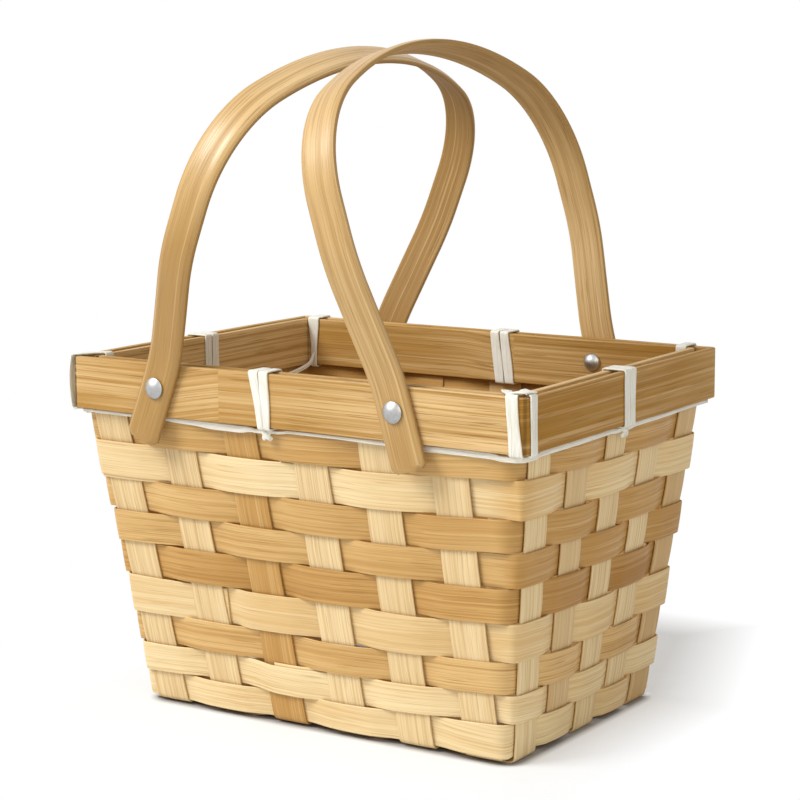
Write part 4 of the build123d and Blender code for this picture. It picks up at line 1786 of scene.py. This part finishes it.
@dataclass
class Handle:
    """A flat bamboo strip bent to a broad arch that hangs on two rivets."""

    node: str
    body: Body
    pivot_x: float
    lean: float
    seed: int
    pivot_z: float = 131.0
    foot: float = 79.9
    shoulder: float = 91.3
    crown: float = 134.3
    tail: float = 22.0
    bend_start: float = 12.0
    bend_end: float = 54.53
    low_radius: float = 60.0
    mid_radius: float = 79.8
    shoulder_radius: float = 47.88
    top_radius: float = 150.0
    width: float = 14.5
    thickness: float = 2.6
    clip: float = 2.0
    hole_radius: float = 1.85
    hole_reach: float = 3.0
    hole_segments: int = 40
    step: float = 2.5
    end_step: float = 0.5
    play: float = 0.05
    end_play: float = 0.35
    end_reach: float = 0.1
    width_wave: Wave = Wave(0.12, reach=38.0)
    drift_wave: Wave = Wave(0.35, reach=60.0)
    slow_tone: Wave = Wave(0.1, reach=45.0)
    fast_tone: Wave = Wave(0.06, reach=13.0)
    free_start: float = 20.0
    free_run: float = 40.0
    # How much darker the strip is along its front leg, fading out up the arch.
    tail_darkening: float = 0.0
    tail_dark_end: float = 130.0
    tail_dark_run: float = 60.0
    shade: float = 0.3
    # Browner, darker inner face: partly the strip's own tone, partly painted shade.
    inner_tone_and_shade: float = 0.0
    inner_dark_tone_and_shade: float = 0.0
    edge_tone: float = 0.5
    grain_gap: float = 1000.0

    def straight(self, start: Vector, end: Vector) -> list[ArchSpot]:
        """Even places on a straight run of the arch.

        Args:
            start: Where the run starts.
            end: Where it ends.

        Returns:
            The places, without the run's end.
        """
        run = end - start
        count = max(int(run.length / self.step), 1)
        facing = math.atan2(-run.x, run.y)
        spots = [start + run * (step / count) for step in range(count)]
        return [(spot.x, spot.y, facing) for spot in spots]

    def arc(self, centre: Vector, radius: float, start: float, end: float,
            hollow: bool = False) -> list[ArchSpot]:
        """Even places on a bend of the arch.

        Args:
            centre: Centre of the bend.
            radius: Radius of the bend.
            start: Angle at which the bend starts.
            end: Angle at which it ends.
            hollow: Whether the bend's centre lies outside the arch.

        Returns:
            The places, without the bend's end.
        """
        count = max(int(abs(end - start) * radius / self.step), 2)
        points = []
        for step in range(count):
            angle = mix(start, end, step / count)
            spot = centre + Vector((math.cos(angle), math.sin(angle))) * radius
            points.append((spot.x, spot.y, angle - math.pi if hollow else angle))
        return points

    def profile(self) -> list[ArchSpot]:
        """Outer line of the arch from the front tail to the crown.

        Returns:
            Places on the line.
        """
        lean = math.atan2(self.shoulder - self.foot, self.bend_end - self.bend_start)
        low = self.low_radius * math.tan(lean / 2)
        mid = self.mid_radius * math.tan(lean / 2)
        turn = Vector((math.sin(lean), math.cos(lean)))
        first, second = Vector((self.foot, self.bend_start)), Vector((self.shoulder, self.bend_end))
        bottom = Vector((self.foot, -self.tail))
        near = Vector((self.foot, -self.tail + self.clip))
        points = [(bottom.x, bottom.y, 0.0), (bottom.x, bottom.y + self.end_step, 0.0)]
        points += self.straight(near, first - Vector((0.0, low)))
        hollow_centre = first + Vector((self.low_radius, -low))
        points += self.arc(hollow_centre, self.low_radius, math.pi, math.pi - lean, hollow=True)
        points += self.straight(first + turn * low, second - turn * mid)
        points += self.arc(second + Vector((-self.mid_radius, mid)), self.mid_radius, -lean, 0.0)
        round_x = self.shoulder - self.shoulder_radius
        top_y = self.crown - self.top_radius
        round_y = top_y + math.sqrt((self.top_radius - self.shoulder_radius) ** 2 - round_x**2)
        side_start = Vector((self.shoulder, self.bend_end + mid))
        points += self.straight(side_start, Vector((self.shoulder, round_y)))
        meet = math.atan2(round_y - top_y, round_x)
        points += self.arc(Vector((round_x, round_y)), self.shoulder_radius, 0.0, meet)
        points += self.arc(Vector((0.0, top_y)), self.top_radius, meet, QUARTER)
        points.append((0.0, self.crown, QUARTER))
        return points

    def stations(self) -> list[Station]:
        """Stations of the strip, from the front tail over the arch to the back one.

        Returns:
            The stations.
        """
        half = self.profile()
        whole = [(-y, height, math.pi - angle) for y, height, angle in half]
        whole += reversed(half[:-1])
        lean = math.radians(self.lean)
        axis = Vector((math.cos(lean), 0.0, -math.sin(lean)))
        rise = Vector((math.sin(lean), 0.0, math.cos(lean)))
        pivot = Vector((self.pivot_x, 0.0, self.pivot_z))
        phases = wave_starts(self.seed, 4)
        stations = []
        travelled = 0.0
        for count, (y, height, angle) in enumerate(whole):
            if count:
                travelled += math.dist(whole[count - 1][:2], (y, height))
            facing = Vector((0.0, math.cos(angle), 0.0)) + rise * math.sin(angle)
            middle = pivot + Vector((0.0, y, 0.0)) + rise * height - facing * (self.thickness / 2)
            over_tail = height + self.tail
            clipped = max(self.clip - over_tail, 0.0)
            free = smooth((height - self.free_start) / self.free_run)
            width = self.width - 2 * clipped + self.width_wave.at(travelled, phases[0]) * free
            drift = self.drift_wave.at(travelled, phases[1]) * free
            tone = self.shade + self.slow_tone.at(travelled, phases[2])
            tone += self.fast_tone.at(travelled, phases[3])
            # Darker along the front leg, fading out up the arch.
            tone += self.tail_darkening * smooth((self.tail_dark_end - travelled) / self.tail_dark_run)
            thick = self.thickness - self.play - (self.end_play if over_tail < self.end_reach else 0.0)
            stations.append(Station(middle + axis * drift, axis, facing, width, thick, 0.0, tone))
        return stations

    def build(self, finishes: Finishes) -> Piece:
        """Build the handle, with holes for its rivets.

        Args:
            finishes: Every finish.

        Returns:
            The finished handle.
        """
        section = Section(
            edge_radius=0.35,
            corner_steps=3,
            face_places=(-0.74, -0.705, -0.67, -0.3, 0.0, 0.3, 0.67, 0.705, 0.74),
            facet_width=2.4,
            facet_depth=0.8,
            # The inner face's browner, darker tone is partly the strip's own and partly painted shade.
            back_tone_and_shade=self.inner_tone_and_shade,
            back_dark_tone_and_shade=self.inner_dark_tone_and_shade,
            edge_tone=self.edge_tone,
        )
        strip = sweep(self.stations(), section, False, HANDLE_GRAIN + self.grain_gap * self.seed)
        piece = settle(strip, f"bent_{self.node}", self.node, Slot.HANDLE, self.body, finishes)
        self.drill(piece)
        return piece

    def drill(self, piece: Piece) -> None:
        """Cut the two rivet holes through the handle and keep the result in its mesh.

        Args:
            piece: The handle.
        """
        drill = bmesh.new()
        place = Matrix.Translation(Vector((self.pivot_x, 0.0, self.pivot_z)) * MM)
        bmesh.ops.create_cone(
            drill, cap_ends=True, segments=self.hole_segments,
            radius1=self.hole_radius * MM, radius2=self.hole_radius * MM,
            depth=2 * (self.foot + self.hole_reach) * MM,
            matrix=place @ Matrix.Rotation(QUARTER, 4, "X"),
        )
        tool = put(drill, "drill")
        cut = piece.modifiers.new("rivet_holes", "BOOLEAN")
        cut.operation = "DIFFERENCE"
        cut.solver = "EXACT"
        cut.object = tool
        state = bpy.context.evaluated_depsgraph_get()
        drilled = bpy.data.meshes.new_from_object(piece.evaluated_get(state), depsgraph=state)
        piece.modifiers.clear()
        old, spare = piece.data, tool.data
        name = old.name
        piece.data = drilled
        bpy.data.objects.remove(tool)
        bpy.data.meshes.remove(spare)
        bpy.data.meshes.remove(old)
        drilled.name = name


@dataclass
class Rivets:
    """Four rivets with a domed head outside and a domed end inside the rim."""

    pivot_left: float = -58.464
    pivot_right: float = 48.9888
    pivot_z: float = 131.0
    head_seat: float = 80.0
    tail_seat: float = 68.316
    shank: float = 1.8
    head_radius: float = 4.0
    head_height: float = 2.4
    tail_radius: float = 3.6
    tail_height: float = 2.6
    edge: float = 0.6
    head_side: float = 0.25
    head_bevel: float = 0.22
    tail_bevel: float = 0.2
    steps: int = 8
    segments: int = 48

    def outline(self) -> list[Pair]:
        """Half of the rivet's outline, from the top of its head to the top of its tail.

        Returns:
            Pairs of the radius and the distance from the basket's middle.
        """
        points = self.dome(self.head_radius, self.head_seat + self.edge, self.head_seat + self.head_height)
        points += [
            (self.head_radius, self.head_seat + self.head_side),
            (self.head_radius - self.head_bevel, self.head_seat),
            (self.shank, self.head_seat),
            (self.shank, self.tail_seat),
            (self.tail_radius - self.tail_bevel, self.tail_seat),
            (self.tail_radius, self.tail_seat - self.tail_bevel),
        ]
        tail = self.dome(self.tail_radius, self.tail_seat - self.edge, self.tail_seat - self.tail_height)
        return points + tail[::-1]

    def dome(self, radius: float, edge: float, top: float) -> list[Pair]:
        """Outline of a dome from its top to its edge.

        Args:
            radius: Radius of the dome's edge.
            edge: Distance of its edge from the basket's middle.
            top: Distance of its top from the basket's middle.

        Returns:
            Pairs of the radius and the distance from the basket's middle.
        """
        height = abs(top - edge)
        way = 1 if top > edge else -1
        sphere = (radius**2 + height**2) / (2 * height)
        span = math.asin(radius / sphere)
        points = []
        for step in range(self.steps + 1):
            angle = span * step / self.steps
            points.append((sphere * math.sin(angle), top - way * sphere * (1 - math.cos(angle))))
        return points

    def build(self, finishes: Finishes) -> list[Piece]:
        """Spin each rivet about its axis.

        Args:
            finishes: Every finish.

        Returns:
            The pieces.
        """
        pieces = []
        for name, pivot_x, side in (
            ("rivet_front_left", self.pivot_left, -1),
            ("rivet_front_right", self.pivot_right, -1),
            ("rivet_back_left", self.pivot_left, 1),
            ("rivet_back_right", self.pivot_right, 1),
        ):
            mesh = bmesh.new()
            spots = [(pivot_x + radius, side * y, self.pivot_z) for radius, y in self.outline()]
            verts = [mesh.verts.new(spot) for spot in spots]
            edges = [mesh.edges.new(pair) for pair in zip(verts, verts[1:])]
            bmesh.ops.spin(
                mesh, geom=verts + edges, cent=(pivot_x, 0.0, self.pivot_z), axis=(0.0, 1.0, 0.0),
                angle=math.tau, steps=self.segments, use_merge=True,
            )
            bmesh.ops.remove_doubles(mesh, verts=mesh.verts[:], dist=MERGE_GAP)
            bmesh.ops.recalc_face_normals(mesh, faces=mesh.faces[:])
            for edge in mesh.edges:
                if len(edge.link_faces) == 2 and edge.calc_face_angle() > SHARP_ANGLE:
                    edge.smooth = False
            pieces.append(settle(mesh, f"metal_{name}", name, Slot.METAL, Body.BASKET, finishes))
        return pieces


@dataclass(frozen=True)
class Lamp:
    """A square soft light: its place and the length of its side in metres, its power in watts."""

    name: str
    place: tuple[float, float, float]
    size: float
    power: float
    tint: Colour = WHITE

    def hang(self, target: Vector) -> None:
        """Hang the light so that it faces a place.

        Args:
            target: The place, in metres.
        """
        light = bpy.data.lights.new(self.name, "AREA")
        light.shape = "SQUARE"
        light.size = self.size
        light.energy = self.power
        light.color = self.tint
        holder = bpy.data.objects.new(self.name, light)
        bpy.context.scene.collection.objects.link(holder)
        aim = target - Vector(self.place)
        turn = aim.to_track_quat("-Z", "Y").to_matrix().to_4x4()
        holder.matrix_world = Matrix.Translation(self.place) @ turn


@dataclass
class Studio:
    """Plain pale floor with a painted contact shadow round the base, soft light and the camera."""

    camera_place: tuple[float, float, float] = (0.4905, -0.7557, 0.2634)
    yaw: float = 32.973
    pitch: float = 9.009
    roll: float = -0.223
    focal_pixels: float = 2317.8
    picture_pixels: float = 800.0
    sensor: float = 36.0
    floor_size: float = 14.0
    floor_roughness: float = 0.9
    floor_tint: Colour = (0.88, 0.885, 0.89)
    # Darker floor colour within a few millimetres of the base: a painted contact shadow.
    painted_contact_shadow: Colour = (0.42, 0.41, 0.40)
    painted_shadow_reach: float = 0.004
    half_length: float = 0.0835
    half_width: float = 0.055
    base_radius: float = 0.008
    shade_reach: float = 0.036
    shade_depth: float = 0.09
    shade_slant: float = 0.35
    near_clear: float = 0.32
    far_clear: float = 0.68
    ambient: float = 0.4
    target: tuple[float, float, float] = (0.0, 0.0, 0.09)
    lamps: tuple[Lamp, ...] = (
        Lamp("key_light", (-0.72, -0.98, 1.25), 0.75, 26.5),
        Lamp("fill_light", (1.15, -0.55, 0.75), 0.9, 4.2, (1.0, 0.92, 0.76)),
    )

    def camera(self) -> None:
        """Place the camera at the photograph's viewing angle."""
        yaw, pitch = math.radians(self.yaw), math.radians(self.pitch)
        ahead = Vector((-math.sin(yaw) * math.cos(pitch), math.cos(yaw) * math.cos(pitch), -math.sin(pitch)))
        level = ahead.cross(UP).normalized()
        right = Matrix.Rotation(math.radians(-self.roll), 3, ahead) @ level
        upward = right.cross(ahead)
        lens = bpy.data.cameras.new("camera")
        lens.sensor_width = self.sensor
        lens.lens = self.focal_pixels / self.picture_pixels * self.sensor
        holder = bpy.data.objects.new("camera", lens)
        bpy.context.scene.collection.objects.link(holder)
        pose = Matrix((right, upward, -ahead)).transposed().to_4x4()
        pose.translation = Vector(self.camera_place)
        holder.matrix_world = pose
        bpy.context.scene.camera = holder

    def world(self) -> None:
        """Even soft light all round, with white where the camera or a reflection sees it."""
        world = bpy.data.worlds.new("studio")
        world.use_nodes = True
        tree = world.node_tree
        background = tree.nodes["Background"]
        background.inputs["Color"].default_value = (*WHITE, 1.0)
        path = tree.nodes.new("ShaderNodeLightPath")
        seen = path.outputs["Is Camera Ray"]
        for ray in MIRROR_RAYS:
            either = tree.nodes.new("ShaderNodeMath")
            either.operation = "MAXIMUM"
            tree.links.new(seen, either.inputs[0])
            tree.links.new(path.outputs[ray], either.inputs[1])
            seen = either.outputs[0]
        strength = tree.nodes.new("ShaderNodeMapRange")
        strength.inputs[3].default_value = self.ambient
        strength.inputs[4].default_value = 1.0
        tree.links.new(seen, strength.inputs[0])
        tree.links.new(strength.outputs[0], background.inputs["Strength"])
        bpy.context.scene.world = world

    def paper(self) -> bpy.types.Material:
        """Paper that glows white away from the basket, with a painted contact shadow round the base.

        Returns:
            The floor's material.
        """
        graph = Graph("floor_paper")
        graph.set({"Roughness": self.floor_roughness, GLOSS: 0.0})
        place = graph.add("TexCoord").outputs["Object"]
        x, y, _ = graph.add("SeparateXYZ", {0: place}).outputs
        behind = graph.math("SUBTRACT", y, self.half_width)
        slanted = graph.math("ADD", graph.math("MULTIPLY", behind, self.shade_slant), x)
        right = graph.math("SUBTRACT", slanted, self.half_length)
        left = graph.math("SUBTRACT", graph.math("MULTIPLY", x, -1.0), self.half_length)
        front = graph.math("SUBTRACT", graph.math("MULTIPLY", y, -1.0), self.half_width)
        gap = graph.math("SUBTRACT", behind, self.shade_depth)
        for other in (right, left, front):
            gap = graph.math("MAXIMUM", gap, other)
        far = graph.band(gap, 0.0, self.shade_reach)
        beside = graph.math("SUBTRACT", graph.math("ABSOLUTE", x), self.half_length - self.base_radius)
        beyond = graph.math("SUBTRACT", graph.math("ABSOLUTE", y), self.half_width - self.base_radius)
        corner = graph.add("CombineXYZ", {0: beside, 1: beyond}).outputs[0]
        outside = graph.add("VectorMath", {0: corner}, operation="LENGTH").outputs["Value"]
        near = graph.band(outside, self.base_radius, self.base_radius + self.painted_shadow_reach)
        near_part = graph.math("MULTIPLY", near, self.near_clear)
        clear = graph.math("ADD", near_part, graph.math("MULTIPLY", far, self.far_clear))
        # The floor's colour darkens close to the base: a painted contact shadow.
        graph.join(graph.blend(near, self.painted_contact_shadow, self.floor_tint), "Base Color")
        path = graph.add("LightPath")
        seen = path.outputs["Is Camera Ray"]
        for ray in MIRROR_RAYS:
            seen = graph.math("MAXIMUM", seen, path.outputs[ray])
        share = graph.math("MULTIPLY", clear, seen)
        glow = graph.add("Emission", {"Color": (*WHITE, 1.0), "Strength": 1.0})
        blend = graph.add("MixShader", {0: share, 1: graph.shader.outputs[0], 2: glow.outputs[0]})
        output = graph.tree.nodes["Material Output"]
        graph.tree.links.new(blend.outputs[0], output.inputs["Surface"])
        return graph.material

    def floor(self) -> None:
        """Lay the floor, which shows white away from the basket, keeps its shadow and has a painted contact
        shadow round the base.
        """
        mesh = bmesh.new()
        bmesh.ops.create_grid(mesh, x_segments=2, y_segments=2, size=self.floor_size / 2)
        floor = put(mesh, "floor")
        floor.data.materials.append(self.paper())

    def build(self) -> None:
        """Set up the whole studio."""
        self.camera()
        self.floor()
        self.world()
        for lamp in self.lamps:
            lamp.hang(Vector(self.target))


def main() -> None:
    """Build the basket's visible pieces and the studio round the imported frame."""
    logging.basicConfig(level=logging.INFO, format="%(message)s")
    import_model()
    bpy.context.scene.view_settings.view_transform = "Standard"
    finishes = Finishes()
    shape = WeaveShape()
    outer = OuterHoop(
        "outer_hoop", half_length=100.8, half_width=77.0, radius=3.4, seed=1,
        lap_x=-55.0, lap_wall=Wall.FRONT,
    )
    inner = InnerHoop(
        "inner_hoop", half_length=94.816, half_width=71.016, radius=4.0, seed=2,
        lap_x=12.0, lap_wall=Wall.BACK,
    )
    left = Handle(
        "handle_left", Body.LEFT_HANDLE, pivot_x=-58.464, lean=20.70, seed=3,
        # The left handle's darker inner face is partly its own tone and partly painted shade.
        tail_darkening=0.75, shade=0.24, inner_tone_and_shade=0.9, inner_dark_tone_and_shade=0.16,
    )
    right = Handle(
        "handle_right", Body.RIGHT_HANDLE, pivot_x=48.9888, lean=-16.43, seed=4,
        tail_darkening=0.1, shade=0.5,
    )
    pieces: list[Piece] = []
    pieces += Stakes(shape).build(finishes)
    pieces += WovenRings(shape).build(finishes)
    pieces += [hoop.build(finishes) for hoop in (outer, inner)]
    pieces += Lacing(shape).build(finishes)
    pieces += [handle.build(finishes) for handle in (left, right)]
    pieces += Rivets().build(finishes)
    for piece in pieces:
        LOG.info("%s: %d faces", piece.name, len(piece.data.polygons))
    Studio().build()


if __name__ == "__main__":
    main()
